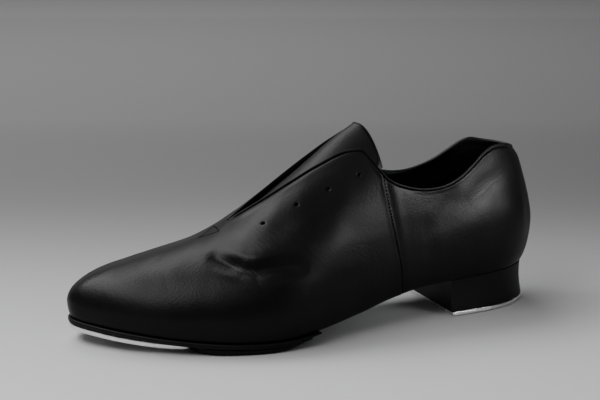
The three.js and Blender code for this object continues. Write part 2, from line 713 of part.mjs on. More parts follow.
// The upper with its lace holes punched square to the leather, a row along each facing
function punchedUpper() {
  let solid = toManifold(upperGeometry());
  for (const side of [OUTER, INNER]) {
    for (const hole of LACE_HOLES) {
      const s = section(hole.at, side);
      const edge = plain(THROAT, side, hole.at) - plain(THROAT, OUTER, hole.at);
      const spread = (hole.out + edge) * SOLE_WIDTH / s.wide;
      const place = shoulderPoint(s, Math.acos(spread ** (s.shoulder / 2)), 0);
      const square = place.clone().sub(underForm(place.x, place.y, 1)).normalize();
      const punch = new THREE.CylinderGeometry(HOLE_RADIUS, HOLE_RADIUS, 4 * FRONT_WALL, HOLE_SIDES);
      const upright = new THREE.Vector3(0, 1, 0);
      punch.applyQuaternion(new THREE.Quaternion().setFromUnitVectors(upright, square));
      punch.translate(place.x, place.y, place.z);
      solid = solid.subtract(toManifold(punch));
    }
  }
  return fromManifold(solid);
}

const leather = new THREE.MeshStandardMaterial({ color: 0x17171a, roughness: 0.5, metalness: 0 });
const trim = new THREE.MeshStandardMaterial({ color: 0x111113, roughness: 0.6, metalness: 0 });
const lining = new THREE.MeshStandardMaterial({ color: 0x0c0c0d, roughness: 0.9, metalness: 0 });
const rubber = new THREE.MeshStandardMaterial({ color: 0x141415, roughness: 0.75, metalness: 0 });
const metal = new THREE.MeshStandardMaterial({ color: 0xb9b9b9, roughness: 0.3, metalness: 1 });

const shoe = new THREE.Group();

function add(name, geometry, material) {
  const mesh = new THREE.Mesh(geometry, material.clone());
  mesh.name = name;
  shoe.add(mesh);
}

add('upper', punchedUpper(), leather);
add('tongue', tongueGeometry(), leather);
add('collar_piping', pipingGeometry(), trim);
add('insole', insoleGeometry(), lining);
add('outsole', outsoleGeometry(), rubber);
add('ball_pad', padGeometry(), rubber);
add('toe_tap', toeTapGeometry(), metal);
add('heel_block', heelBlockGeometry(), rubber);
add('heel_tap', heelTapGeometry(), metal);

const box = new THREE.Box3().setFromObject(shoe);
const middle = box.getCenter(new THREE.Vector3());
shoe.position.set(-middle.x, -middle.y, -box.min.z);
shoe.updateMatrixWorld(true);

export default shoe;
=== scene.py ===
"""Left tap shoe in soft black leather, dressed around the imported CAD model.

The upper, tongue, piping, soles and taps are built again on the same form as the CAD solids, fine
enough to carry folds, rolled edges, lace holes and stitches. Inside the form's functions lengths
are millimetres, x = 0 is the back of the heel and z = 0 the floor; every finished piece is in
metres in the frame's own place.
"""
from __future__ import annotations

import logging
import math
from dataclasses import dataclass, field
from enum import Enum
from typing import Callable, Iterable

import bpy
import numpy as np
from mathutils import Euler, Matrix, Vector


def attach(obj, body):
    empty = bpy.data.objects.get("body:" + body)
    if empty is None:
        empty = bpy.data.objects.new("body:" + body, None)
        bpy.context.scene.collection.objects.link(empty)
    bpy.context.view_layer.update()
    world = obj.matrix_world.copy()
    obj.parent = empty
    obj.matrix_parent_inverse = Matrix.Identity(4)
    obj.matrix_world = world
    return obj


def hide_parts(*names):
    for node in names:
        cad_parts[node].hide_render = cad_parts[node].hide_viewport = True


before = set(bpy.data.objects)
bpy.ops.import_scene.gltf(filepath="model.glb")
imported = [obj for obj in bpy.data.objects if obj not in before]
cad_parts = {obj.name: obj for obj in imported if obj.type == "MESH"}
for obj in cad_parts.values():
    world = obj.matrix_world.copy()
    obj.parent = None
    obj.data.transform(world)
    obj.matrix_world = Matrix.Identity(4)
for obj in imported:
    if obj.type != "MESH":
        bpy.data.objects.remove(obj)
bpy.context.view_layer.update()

LOG = logging.getLogger("tap_shoe")
Array = np.ndarray
Point = tuple[float, float, float]
MILLIMETRE = 0.001
ROOT = "root"
# Where the back of the heel and the middle line of the form lie in the frame, millimetres
FORM_ORIGIN = np.array([-138.862, -2.543, 0.0])
# Decimals of a millimetre to which two points have to agree to be one
SAME_POINT = 4
# Where the rolled edge under the piping starts on a column, and its share of the column
EDGE_RISE, EDGE_PART = 0.986, 0.014
# Share of a column under the piping over which folds and unevenness fade out
CALM_EDGE = 0.05


class Side(Enum):
    """The two sides of the shoe."""

    OUTER = "outer"
    INNER = "inner"


# The form


def smooth(t: Array) -> Array:
    """Smooth step from 0 to 1."""
    t = np.clip(t, 0.0, 1.0)
    return t * t * (3 - 2 * t)


def turn(share: Array) -> Array:
    """Share of the length as an angle, so that a table is finest at heel and toe."""
    return np.arccos(np.clip(1 - 2 * np.asarray(share, float), -1, 1)) / np.pi


def even_turns(starts: float, ends: float, count: int) -> Array:
    """Shares between two places, closer together at heel and toe."""
    angle = np.linspace(turn(starts), turn(ends), count)
    return (1 - np.cos(angle * np.pi)) / 2


def quarter_round(into: Array) -> Array:
    """Drop of a rounded edge, from 0 at and before its start to 1 at its end."""
    return 1 - np.sqrt(1 - np.clip(into, 0, 1) ** 2)


def swelling(run: Array, at: float, width: float) -> Array:
    """Soft hump of height 1 over a place."""
    return np.exp(-((run - at) / width) ** 2)


@dataclass(frozen=True)
class Table:
    """Rows of sizes along the shoe, read as smooth curves.

    The first number of a row is its place, a share of the shoe's length.
    """

    names: tuple[str, ...]
    rows: tuple[tuple[float, ...], ...]
    turned: bool = True

    def read(self, name: str, share: Array) -> Array:
        """Reads one column.

        Args:
            name: Column to read.
            share: Places along the shoe, as shares of its length.

        Returns:
            The column's values there.
        """
        data = np.array(self.rows)
        at, value = data[:, 0], data[:, 1 + self.names.index(name)]
        place = np.asarray(share, float)
        if self.turned:
            at, place = turn(at), turn(place)
        step = np.diff(at)
        slope = np.diff(value) / step
        inner = (slope[:-1] * step[1:] + slope[1:] * step[:-1]) / (step[:-1] + step[1:])
        bend = np.concatenate([slope[:1], inner, slope[-1:]])
        i = np.clip(np.searchsorted(at, place), 1, len(at) - 1)
        h = step[i - 1]
        t = np.clip((place - at[i - 1]) / h, 0, 1)
        rest = 1 - t
        ends = value[i - 1] * (1 + 2 * t) * rest * rest + value[i] * (3 - 2 * t) * t * t
        return ends + h * t * rest * (bend[i - 1] * rest - bend[i] * t)

    def sided(self, share: Array, outer: Array) -> Array:
        """Reads for each place the column of the side on which it lies."""
        return np.where(outer, self.read("outer", share), self.read("inner", share))


# Sole outline, shares of the sole's width
PLAN = Table(("outer", "inner"), (
    (0.00, 0.000, 0.000), (0.03, 0.165, -0.165), (0.07, 0.245, -0.239), (0.13, 0.293, -0.287),
    (0.20, 0.314, -0.303), (0.28, 0.330, -0.287), (0.36, 0.362, -0.255), (0.44, 0.410, -0.239),
    (0.52, 0.473, -0.261), (0.60, 0.527, -0.319), (0.67, 0.527, -0.388), (0.73, 0.484, -0.441),
    (0.80, 0.394, -0.473), (0.87, 0.271, -0.468), (0.93, 0.128, -0.420), (0.97, -0.011, -0.351),
    (1.00, -0.181, -0.181)))
# Rise of the feather line at heel and toe, height of the crest and its place across the shoe
PROFILE = Table(("heel", "toe", "ridge", "crest"), (
    (0.00, 1.000, 0.000, 1.074, 0.000), (0.12, 0.971, 0.000, 1.089, 0.000),
    (0.22, 0.912, 0.000, 1.109, 0.006), (0.30, 0.795, 0.000, 1.099, 0.005),
    (0.38, 0.532, 0.000, 1.059, -0.005), (0.44, 0.298, 0.000, 1.000, -0.011),
    (0.50, 0.152, 0.000, 0.906, -0.011), (0.56, 0.058, 0.000, 0.799, -0.011),
    (0.62, 0.000, 0.000, 0.693, -0.011), (0.68, 0.000, 0.000, 0.583, -0.016),
    (0.74, 0.000, 0.052, 0.494, -0.032), (0.79, 0.000, 0.163, 0.440, -0.059),
    (0.84, 0.000, 0.302, 0.388, -0.096), (0.92, 0.000, 0.593, 0.300, -0.138),
    (1.00, 0.000, 1.000, 0.178, -0.181)))
# Sections: inset of the feather line, bulge of the walls, height of the widest place, squareness
FORM = Table(("inset", "outer", "inner", "height", "shoulder", "foot"), (
    (0.00, 0.021, 0.075, 0.075, 0.257, 1.45, 1.6), (0.06, 0.016, 0.068, 0.068, 0.248, 1.50, 1.6),
    (0.13, 0.011, 0.056, 0.056, 0.228, 1.64, 1.6), (0.24, 0.011, 0.042, 0.053, 0.208, 1.80, 1.6),
    (0.34, 0.032, 0.042, 0.053, 0.198, 1.85, 1.6), (0.46, 0.042, 0.042, 0.064, 0.178, 1.80, 1.6),
    (0.60, 0.021, 0.032, 0.042, 0.149, 1.80, 1.8), (0.75, 0.021, 0.027, 0.037, 0.119, 1.85, 2.0),
    (0.90, 0.021, 0.021, 0.032, 0.089, 1.85, 2.0), (1.00, 0.021, 0.021, 0.021, 0.079, 1.80, 2.0)))
# Top line of the collar over the feather line, shares of the collar's rise
COLLAR = Table(("outer", "inner"), (
    (0.000, 1.020, 1.020), (0.020, 1.042, 1.026), (0.060, 1.084, 1.036), (0.088, 1.096, 1.048),
    (0.115, 1.092, 1.012), (0.140, 1.052, 0.944), (0.170, 0.968, 0.868), (0.200, 0.893, 0.825),
    (0.230, 0.849, 0.806), (0.280, 0.843, 0.836), (0.330, 0.914, 0.940), (0.362, 1.000, 1.068),
    (0.386, 1.118, 1.218), (0.410, 1.285, 1.390), (0.435, 1.460, 1.577), (0.460, 1.650, 1.765)),
    turned=False)
# The throat's gap on either side of the crest, shares of the sole's width
THROAT = Table(("outer", "inner"), (
    (0.360, 0.240, 0.117), (0.410, 0.194, 0.092), (0.440, 0.166, 0.083), (0.500, 0.131, 0.069),
    (0.560, 0.094, 0.051), (0.620, 0.053, 0.031), (0.671, 0.006, 0.006), (0.680, 0.000, 0.000)),
    turned=False)
# Half width of the tongue along it, from its front end to its top
TONGUE = Table(("half",), (
    (0.00, 0.30), (0.15, 0.62), (0.40, 0.86), (0.75, 1.00), (0.92, 1.00), (1.00, 0.93)), turned=False)


@dataclass
class Section:
    """Sizes of the form's sections at an array of places."""

    share: Array
    outer: Array
    centre_x: Array
    centre_y: Array
    out_x: Array
    out_y: Array
    reach: Array
    bulge: Array
    wide: Array
    middle: Array
    top: Array
    shoulder: Array
    foot: Array


@dataclass(frozen=True)
class Last:
    """The form that the leather is pulled over, with the shoe's main sizes in millimetres.

    Centres, seam, throat and strip_from are places along the shoe, as shares of its length, and so
    are pull_reach, seam_reach and strip_blend. Parts are shares of a column's rise.
    """

    length: float = 282.0
    sole_width: float = 94.0
    instep_rise: float = 101.0
    collar_rise: float = 70.5
    heel_height: float = 23.2
    toe_spring: float = 8.6
    stack: float = 6.4
    clearance: float = 0.3
    heel_centre: float = 0.1206
    toe_centre: float = 0.837
    seam: float = 0.379
    seam_lean: float = 11.0
    heel_pull: float = 1.8
    pull_reach: float = 0.07
    pull_from: float = 87.0
    pull_rise: float = 9.0
    seam_reach: float = 0.11
    throat_tip: float = 0.671
    throat_end: float = 0.68
    foot_part: float = 4 / 13
    wall_part: float = 0.24
    wall_turn: float = 1.05
    wall_power: float = 1.1
    toe_power: float = 1.5
    edge_blend: float = 0.04
    strip_height: float = 1.7
    strip_heel: float = 0.9
    strip_from: float = 0.22
    strip_blend: float = 0.14
    widest: float = 0.98

    def feather(self, share: Array) -> Array:
        """Height of the line where upper and sole meet."""
        heel = np.maximum(0, PROFILE.read("heel", share))
        toe = np.maximum(0, PROFILE.read("toe", share))
        rise = self.heel_height + self.clearance - self.stack
        return self.stack + rise * heel + self.toe_spring * toe

    def crest(self, share: Array) -> Array:
        """Place of the crest across the shoe."""
        return PROFILE.read("crest", share) * self.sole_width

    def section(self, share: Array, outer: Array) -> Section:
        """Measures the sections of the form.

        Args:
            share: Places along the shoe.
            outer: Whether each place is on the outer side.

        Returns:
            The sections' sizes, in arrays of the shape of both arguments together.
        """
        share, outer = np.broadcast_arrays(np.asarray(share, float), np.asarray(outer, bool))
        centre = np.clip(share, self.heel_centre, self.toe_centre)
        centre_x, centre_y = centre * self.length, self.crest(centre)
        dx = share * self.length - centre_x
        dy = PLAN.sided(share, outer) * self.sole_width - centre_y
        reach = np.hypot(dx, dy)
        bulge = FORM.sided(share, outer) * self.sole_width
        wide = reach - FORM.read("inset", share) * self.sole_width + bulge
        middle = self.feather(share) + FORM.read("height", share) * self.instep_rise
        top = self.feather(centre) + PROFILE.read("ridge", centre) * self.instep_rise
        return Section(share, outer, centre_x, centre_y, dx / reach, dy / reach, reach, bulge, wide,
                       middle, top, FORM.read("shoulder", share), FORM.read("foot", share))

    def toe_slope(self) -> float:
        """Fall of the crest at the toe's centre, which the toe sections carry on."""
        step = 0.008
        ends = np.array([self.toe_centre - step, self.toe_centre + step])
        height = self.feather(ends) + PROFILE.read("ridge", ends) * self.instep_rise
        return float(height[1] - height[0]) / (2 * step * self.length)

    def end_angle(self, s: Section, drop: float) -> Array:
        """Angle on the shoulder at which a section ends below the opening.

        Args:
            s: Sections.
            drop: Distance of the end from the opening's edge.

        Returns:
            The angles, a right angle where the form is closed.
        """
        gap = np.maximum(0, THROAT.sided(s.share, s.outer)) * self.sole_width + drop
        by_gap = np.arccos(np.clip(gap / s.wide, 0, 1) ** (s.shoulder / 2))
        line = self.feather(s.share) + COLLAR.sided(s.share, s.outer) * self.collar_rise - drop
        level = np.clip((line - s.middle) / (s.top - s.middle), 0, 1)
        by_line = np.arcsin(level ** (s.shoulder / 2))
        mix = np.clip(0.5 + 0.5 * (by_line - by_gap) / self.edge_blend, 0, 1)
        corner = by_line * (1 - mix) + by_gap * mix - self.edge_blend * mix * (1 - mix)
        angle = np.where(s.share > COLLAR.rows[-1][0], by_gap, corner)
        angle = np.where(s.share < THROAT.rows[0][0], by_line, angle)
        return np.where(s.share >= self.throat_end, np.pi / 2, angle)

    def shoulder_point(self, s: Section, angle: Array, depth: Array) -> Array:
        """Points at an angle on the sections' shoulders, at a depth inside the surface."""
        level = np.sin(angle) ** (2 / s.shoulder)
        spread = np.maximum(0, np.cos(angle)) ** (2 / s.shoulder)
        r = (s.wide - depth) * spread
        z = s.middle + (s.top - depth - s.middle) * level
        back = 1 - smooth(s.share / self.pull_reach)
        r = r - self.heel_pull * back * smooth((z - self.pull_from) / self.pull_rise)
        fall = self.toe_slope() * s.out_x * s.wide * spread * (1 - spread) ** self.toe_power
        z = z + np.where(s.share > self.toe_centre, fall, 0)
        return np.stack([s.centre_x + s.out_x * r, s.centre_y + s.out_y * r, z], axis=-1)

    def foot_point(self, s: Section, t: Array, depth: Array, lift: float) -> Array:
        """Points under the widest place: t is 0 at the feather line and 1 at the widest place."""
        level = np.sin(t * np.pi / 2)
        tuck = s.bulge * (1 - np.maximum(0, 1 - (1 - level) ** s.foot) ** (1 / s.foot))
        r = s.wide - depth - tuck
        x = s.centre_x + s.out_x * r
        low = self.feather(x / self.length) + lift
        return np.stack([x, s.centre_y + s.out_y * r, low + (s.middle - low) * level], axis=-1)

    def parts(self, rise: Array) -> tuple[Array, Array]:
        """Shares of the way up a column's foot, and up its shoulder, at a rise."""
        up = np.clip((rise - self.foot_part) / (1 - self.foot_part), 0, 1)
        return np.clip(rise / self.foot_part, 0, 1), up

    def lean(self, share: Array, rise: Array) -> Array:
        """Share of a column at a rise: the seam leans back towards the sole with its neighbours."""
        near = np.maximum(0, 1 - np.abs(share - self.seam) / self.seam_reach)
        foot, up = self.parts(rise)
        low = self.wall_part * np.sin(foot * np.pi / 2)
        high = (np.sin(self.wall_turn * up) / math.sin(self.wall_turn)) ** self.wall_power
        height = low + (1 - self.wall_part) * high
        return share - self.seam_lean / self.length * smooth(near) * (1 - height)

    def place(self, share: Array, rise: Array, outer: Array, depth: Array = 0.0,
              lift: float = 0.0) -> Array:
        """Points of the leather.

        Args:
            share: Columns, as shares of the length.
            rise: Height on the column, 0 at the feather line and 1 under the piping.
            outer: Whether each point is on the outer side.
            depth: Distance inside the surface.
            lift: Height of the lowest point over the feather line.

        Returns:
            Array of points, one more axis than the arguments.
        """
        share, rise, outer, depth = np.broadcast_arrays(share, rise, outer, depth)
        s = self.section(self.lean(share, rise), outer)
        low, up = self.parts(rise)
        foot = self.foot_point(s, low, depth, lift)
        shoulder = self.shoulder_point(s, self.angle_below(s, self.strip(s.share)) * up, depth)
        return np.where((rise < self.foot_part)[..., None], foot, shoulder)

    def strip(self, share: Array) -> Array:
        """Height of the piping over the leather's edge, fuller round the heel."""
        back = smooth((self.strip_from - share) / self.strip_blend)
        return self.strip_height + self.strip_heel * back

    def angle_below(self, s: Section, drop: Array) -> Array:
        """Angle on the shoulder at a distance below the opening, measured along the leather."""
        tip = self.end_angle(s, 0.0)
        step = 0.04
        reach = np.linalg.norm(
            self.shoulder_point(s, tip, 0.0) - self.shoulder_point(s, tip - step, 0.0), axis=-1)
        below = tip - drop * step / np.maximum(reach, 1e-6)
        return np.where(s.share >= self.throat_end, np.pi / 2, below)

    def height(self, x: Array, y: Array) -> Array:
        """Height of the form over places in plan."""
        share = x / self.length
        crest = self.crest(share)
        s = self.section(share, y > crest)
        spread = np.minimum(np.abs(y - crest) / s.wide, self.widest)
        return s.middle + (s.top - s.middle) * (1 - spread ** s.shoulder) ** (1 / s.shoulder)

    def under(self, x: Array, y: Array, depth: Array) -> Array:
        """Points at a depth under the form's top surface, square to it."""
        step = 0.5
        slope_x = (self.height(x + step, y) - self.height(x - step, y)) / (2 * step)
        slope_y = (self.height(x, y + step) - self.height(x, y - step)) / (2 * step)
        normal = np.stack([-slope_x, -slope_y, np.ones_like(slope_x)], axis=-1)
        normal /= np.linalg.norm(normal, axis=-1, keepdims=True)
        top = np.stack([x, y, self.height(x, y)], axis=-1)
        return top - normal * np.asarray(depth)[..., None]

    def outline(self, shares: Array, wide: bool) -> Array:
        """Measures the outer side's outline in plan.

        Args:
            shares: Places along the shoe.
            wide: Whether to follow the leather's widest line, or else the sole's outline.

        Returns:
            Length of the outline up to each place.
        """
        s = self.section(shares, np.full(shares.shape, True))
        out = s.wide if wide else s.reach
        x, y = s.centre_x + s.out_x * out, s.centre_y + s.out_y * out
        return np.concatenate([[0], np.cumsum(np.hypot(np.diff(x), np.diff(y)))])


LAST = Last()


# Meshes


def to_frame(points: Array) -> list:
    """Points of the form, in metres in the frame's place."""
    return ((points + FORM_ORIGIN) * MILLIMETRE).tolist()


def add_object(name: str, data: bpy.types.ID) -> bpy.types.Object:
    """Makes an object and puts it in the scene."""
    made = bpy.data.objects.new(name, data)
    bpy.context.scene.collection.objects.link(made)
    return made


def grid_faces(columns: int, rows: int, start: int = 0, wrap: bool = False) -> Array:
    """Four-cornered faces of a grid of points stored column by column.

    Args:
        columns: Number of columns.
        rows: Points in a column.
        start: Number of the grid's first point.
        wrap: Whether the last column joins the first.

    Returns:
        Array of faces, one row of four point numbers each.
    """
    i, j = np.meshgrid(np.arange(columns if wrap else columns - 1), np.arange(rows - 1), indexing="ij")
    following = (i + 1) % columns
    corners = (i * rows + j, following * rows + j, following * rows + j + 1, i * rows + j + 1)
    return np.stack([c.ravel() for c in corners], axis=-1) + start


@dataclass
class Draft:
    """Points and faces of a piece, in millimetres of the form."""

    points: list[Array] = field(default_factory=list)
    faces: list[Array] = field(default_factory=list)
    count: int = 0

    def add(self, points: Array) -> int:
        """Adds points and gives the number of the first."""
        flat = np.asarray(points, float).reshape(-1, 3)
        self.points.append(flat)
        start = self.count
        self.count += len(flat)
        return start

    def face(self, faces: Iterable[Iterable[int]]) -> None:
        """Adds faces of three or four corners."""
        rows = [list(f) + [list(f)[-1]] * (4 - len(list(f))) for f in faces]
        if rows:
            self.faces.append(np.array(rows, int))

    def bridge(self, run: list[int], a: int, b: int) -> None:
        """Closes the gap between a run of fine edge points and one edge of a coarse one.

        Args:
            run: Fine points, in the order in which the fine surface goes round.
            a: Coarse point at the run's start.
            b: Coarse point at its end.
        """
        half = (len(run) - 1) // 2
        for k in range(len(run) - 1):
            self.face([(run[k + 1], run[k], a if k < half else b)])
        self.face([(a, b, run[half])])

    def merged(self) -> tuple[Array, Array]:
        """Points without doubles, and the faces on them with their loose corners left out.

        Returns:
            The points, and faces as rows of four numbers, the last one doubled in a triangle.
        """
        points = np.concatenate(self.points)
        faces = np.concatenate(self.faces)
        same = np.round(points, SAME_POINT)
        _, first, place = np.unique(same, axis=0, return_index=True, return_inverse=True)
        return points[first], place.ravel()[faces]

    def piece(self, name: str, sharp: float = 40.0) -> bpy.types.Object:
        """Makes the Blender object.

        Args:
            name: Name of the piece.
            sharp: Edges that turn by more than this, in degrees, stay sharp.

        Returns:
            The piece, closed, with its faces outwards, in metres in the frame's place.
        """
        points, faces = self.merged()
        solid = []
        for face in faces.tolist():
            loop = [c for k, c in enumerate(face) if c != face[k - 1]]
            if len(set(loop)) == len(loop) > 2:
                solid.append(loop)
        first = np.array([f[:3] for f in solid])
        last = np.array([(f[0], f[2], f[3]) for f in solid if len(f) == 4]).reshape(-1, 3)
        volume = sum(
            np.einsum("ij,ij->i", points[t[:, 0]], np.cross(points[t[:, 1]], points[t[:, 2]])).sum()
            for t in (first, last))
        if volume < 0:
            solid = [f[::-1] for f in solid]
        mesh = bpy.data.meshes.new(name)
        mesh.from_pydata(to_frame(points), [], solid)
        mesh.update()
        mesh.polygons.foreach_set("use_smooth", [True] * len(solid))
        mesh.set_sharp_from_angle(angle=math.radians(sharp))
        return add_object(name, mesh)


def surface_normals(points: Array, faces: Array) -> Array:
    """Normals at the points of a grid whose doubled points share one normal.

    Args:
        points: Grid of points.
        faces: Four-cornered faces on the flattened grid.

    Returns:
        Normals in the grid's shape.
    """
    flat = points.reshape(-1, 3)
    _, place = np.unique(np.round(flat, SAME_POINT), axis=0, return_inverse=True)
    place = place.ravel()
    across = flat[faces[:, 2]] - flat[faces[:, 0]]
    along = flat[faces[:, 3]] - flat[faces[:, 1]]
    normal = np.cross(across, along)
    total = np.zeros((place.max() + 1, 3))
    for k in range(4):
        np.add.at(total, place[faces[:, k]], normal)
    size = np.linalg.norm(total, axis=1, keepdims=True)
    return (total / np.maximum(size, 1e-12))[place].reshape(points.shape)


def finish_piece(piece: bpy.types.Object, nodes: Iterable[str] = ()) -> bpy.types.Object:
    """Puts a finished piece on its body, hides the CAD nodes that it replaces and logs its faces.

    Args:
        piece: The piece.
        nodes: CAD nodes that it replaces.

    Returns:
        The same piece.
    """
    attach(piece, ROOT)
    if nodes:
        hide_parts(*nodes)
    LOG.info("%s: %d faces", piece.name, len(piece.data.polygons))
    return piece


# Folds of the leather


@dataclass(frozen=True)
class Fold:
    """A soft trough or ridge along a line on the leather.

    The line's points are (share of the length, rise on the column). A height below zero is a
    trough. Width and height are millimetres. The fold fades over the share fade of its line at
    either end, from end_level on, and ends at reach times its width on either side.
    """

    line: tuple[tuple[float, float], ...]
    height: float
    width: float
    side: Side = Side.OUTER
    fade: float = 0.35
    reach: float = 3.0
    end_level: float = 0.15

    def relief(self, points: Array) -> Array:
        """Height that the fold adds at the points."""
        spots = np.array(self.line)
        path = LAST.place(spots[:, 0], spots[:, 1], np.full(len(spots), self.side is Side.OUTER))
        reach = self.reach * self.width
        near = np.all((points > path.min(0) - reach) & (points < path.max(0) + reach), axis=-1)
        added = np.zeros(points.shape[:-1])
        if not near.any():
            return added
        local = points[near]
        steps = np.linalg.norm(np.diff(path, axis=0), axis=1)
        before = np.concatenate([[0], np.cumsum(steps)])
        best = np.full(len(local), np.inf)
        run = np.zeros(len(local))
        for k, (a, b) in enumerate(zip(path[:-1], path[1:])):
            t = np.clip((local - a) @ (b - a) / max(steps[k] ** 2, 1e-9), 0, 1)
            d = np.linalg.norm(local - a - t[:, None] * (b - a), axis=1)
            closer = d < best
            best = np.where(closer, d, best)
            run = np.where(closer, (before[k] + t * steps[k]) / before[-1], run)
        ends = smooth(np.minimum(run, 1 - run) / self.fade + self.end_level)
        added[near] = self.height * swelling(best, 0, self.width) * ends
        return added


@dataclass(frozen=True)
class CreaseZone:
    """A patch of fine wrinkles that all run much the same way.

    The wrinkles run from start to end, which are (share of the length, rise on the column).
    Lengths are millimetres. Off is the unit square to the leather, and off_reach the patch's reach
    counted in it.
    """

    start: tuple[float, float]
    end: tuple[float, float]
    reach: float
    depth: float = 0.1
    run: float = 14.0
    pitch: float = 1.3
    side: Side = Side.OUTER
    off: float = 6.0
    off_reach: float = 3.0

    def axes(self) -> tuple[Vector, Euler, Array]:
        """Measures the patch.

        Returns:
            Its centre in metres, the turn of its own axes (along, across and off the leather),
            and its reach along each of them, counted in wrinkle lengths and wrinkle widths.
        """
        spots = np.array([self.start, self.end])
        middle = spots.mean(axis=0)
        step_along, step_up = (0.01, 0), (0, 0.03)
        spots = np.concatenate([spots, [middle, middle + step_along, middle + step_up]])
        outer = np.full(len(spots), self.side is Side.OUTER)
        a, b, centre, ahead, above = LAST.place(spots[:, 0], spots[:, 1], outer)
        off = np.cross(ahead - centre, above - centre)
        off /= np.linalg.norm(off)
        along = b - a - off * ((b - a) @ off)
        half = np.linalg.norm(along) / 2
        along /= 2 * half
        across = np.cross(off, along)
        turned = Matrix(np.stack([along, across, off], axis=1).tolist()).to_euler()
        reach = np.array([(half + self.reach) / self.run, self.reach / self.pitch, self.off_reach])
        return Vector(to_frame(centre)), turned, reach


FOLDS: tuple[Fold, ...] = (
    # Dent over the ball
    Fold(((0.7513, 0.770), (0.7348, 0.715), (0.7169, 0.665), (0.6991, 0.618), (0.6755, 0.592),
          (0.6497, 0.587), (0.6104, 0.568), (0.5647, 0.516)), -2.6, 5.2, fade=0.3),
    Fold(((0.7500, 0.800), (0.7330, 0.738), (0.7150, 0.686), (0.6960, 0.640)), -0.8, 3.9),
    Fold(((0.7241, 0.817), (0.7055, 0.742), (0.6862, 0.678), (0.6662, 0.662), (0.6433, 0.655),
          (0.6076, 0.641)), 0.9, 5.0, fade=0.5),
    # Trough under the row of lace holes, and the fuller leather below it
    Fold(((0.640, 0.76), (0.585, 0.775), (0.519, 0.79), (0.455, 0.82)), -0.8, 6.5),
    Fold(((0.600, 0.66), (0.540, 0.60), (0.480, 0.54), (0.440, 0.47)), 0.35, 9.0),
    Fold(((0.4982, 0.45), (0.465, 0.435), (0.4375, 0.43)), 0.35, 5.0),
    # Heel quarter: it leans in over a full lower half, and folds run down and forward from its top
    Fold(((0.030, 0.50), (0.120, 0.50), (0.200, 0.48), (0.290, 0.46)), 1.2, 12.0, fade=0.15),
    Fold(((0.040, 0.86), (0.120, 0.88), (0.200, 0.88), (0.280, 0.88)), -0.25, 9.0, fade=0.2),
    Fold(((0.060, 0.86), (0.107, 0.80), (0.150, 0.785), (0.185, 0.73), (0.215, 0.64)), -0.55, 5.5),
    Fold(((0.204, 0.94), (0.229, 0.815), (0.255, 0.668), (0.298, 0.478)), -0.6, 5.5),
    Fold(((0.120, 0.64), (0.150, 0.64), (0.175, 0.60)), 0.12, 8.0),
    # The inner side creases in much the same places
    Fold(((0.740, 0.76), (0.700, 0.68), (0.655, 0.61)), -1.4, 6.0, Side.INNER),
    Fold(((0.630, 0.78), (0.560, 0.76), (0.480, 0.80)), -0.7, 6.0, Side.INNER),
    Fold(((0.030, 0.50), (0.120, 0.50), (0.200, 0.48), (0.290, 0.46)), 1.0, 12.0, Side.INNER, 0.15),
    Fold(((0.070, 0.84), (0.140, 0.76), (0.200, 0.62)), -0.8, 4.0, Side.INNER),
    Fold(((0.190, 0.92), (0.235, 0.74), (0.290, 0.50)), -1.0, 5.5, Side.INNER),
)

CREASES: tuple[CreaseZone, ...] = (
    CreaseZone((0.7320, 0.720), (0.6433, 0.400), 13.0, 0.07),
    CreaseZone((0.6760, 0.930), (0.6150, 0.600), 12.0, 0.09, 10.0),
    CreaseZone((0.6400, 0.800), (0.5300, 0.480), 18.0, 0.08),
    CreaseZone((0.5900, 0.920), (0.4700, 0.700), 15.0, 0.06, 9.0),
    CreaseZone((0.5000, 0.560), (0.4300, 0.420), 12.0, 0.05, 9.0),
    CreaseZone((0.0600, 0.860), (0.2200, 0.660), 9.0, 0.05, 8.0),
    CreaseZone((0.1300, 0.740), (0.2500, 0.520), 11.0, 0.03, 8.0),
    CreaseZone((0.3000, 0.930), (0.3300, 0.600), 10.0, 0.03, 8.0),
    CreaseZone((0.7300, 0.740), (0.6400, 0.420), 12.0, 0.12, side=Side.INNER),
    CreaseZone((0.6600, 0.900), (0.5900, 0.640), 11.0, 0.09, 10.0, side=Side.INNER),
    CreaseZone((0.0700, 0.860), (0.2200, 0.640), 9.0, 0.08, 10.0, side=Side.INNER),
)


@dataclass(frozen=True)
class LeatherRelief:
    """Everything that lifts or sinks the leather from its smooth form."""

    ripple: float = 0.12
    waves: int = 26
    seed: int = 5
    shortest: float = 9.0
    longest: float = 42.0

    def unevenness(self, points: Array) -> Array:
        """Slow, irregular rise and fall of soft leather, in millimetres."""
        rng = np.random.default_rng(self.seed)
        total = np.zeros(points.shape[:-1])
        for _ in range(self.waves):
            direction = rng.normal(size=3)
            direction /= np.linalg.norm(direction)
            length = rng.uniform(self.shortest, self.longest)
            phase = rng.uniform(0, 2 * np.pi)
            weight = length / self.longest
            total += weight * np.sin(points @ direction * 2 * np.pi / length + phase)
        return total * self.ripple / math.sqrt(self.waves / 4)

    def relief(self, points: Array) -> Array:
        """Height over the smooth form at each point."""
        return self.unevenness(points) + sum(fold.relief(points) for fold in FOLDS)


RELIEF = LeatherRelief()


# Upper


@dataclass(frozen=True)
class LaceHole:
    """A hole in a facing: its place along the shoe and its distance from the crest."""

    share: float
    out: float
    side: Side

    def centre(self) -> Array:
        """Point on the smooth leather."""
        outer = self.side is Side.OUTER
        gap = float(THROAT.read(self.side.value, self.share) - THROAT.read("outer", self.share))
        s = LAST.section(self.share, outer)
        spread = (self.out + gap) * LAST.sole_width / s.wide
        return LAST.shoulder_point(s, np.arccos(spread ** (s.shoulder / 2)), 0.0)


LACE_HOLES = tuple(
    LaceHole(share, out, side)
    for side in Side
    for share, out in ((0.4300, 0.267), (0.4975, 0.268), (0.5655, 0.251), (0.6355, 0.231)))


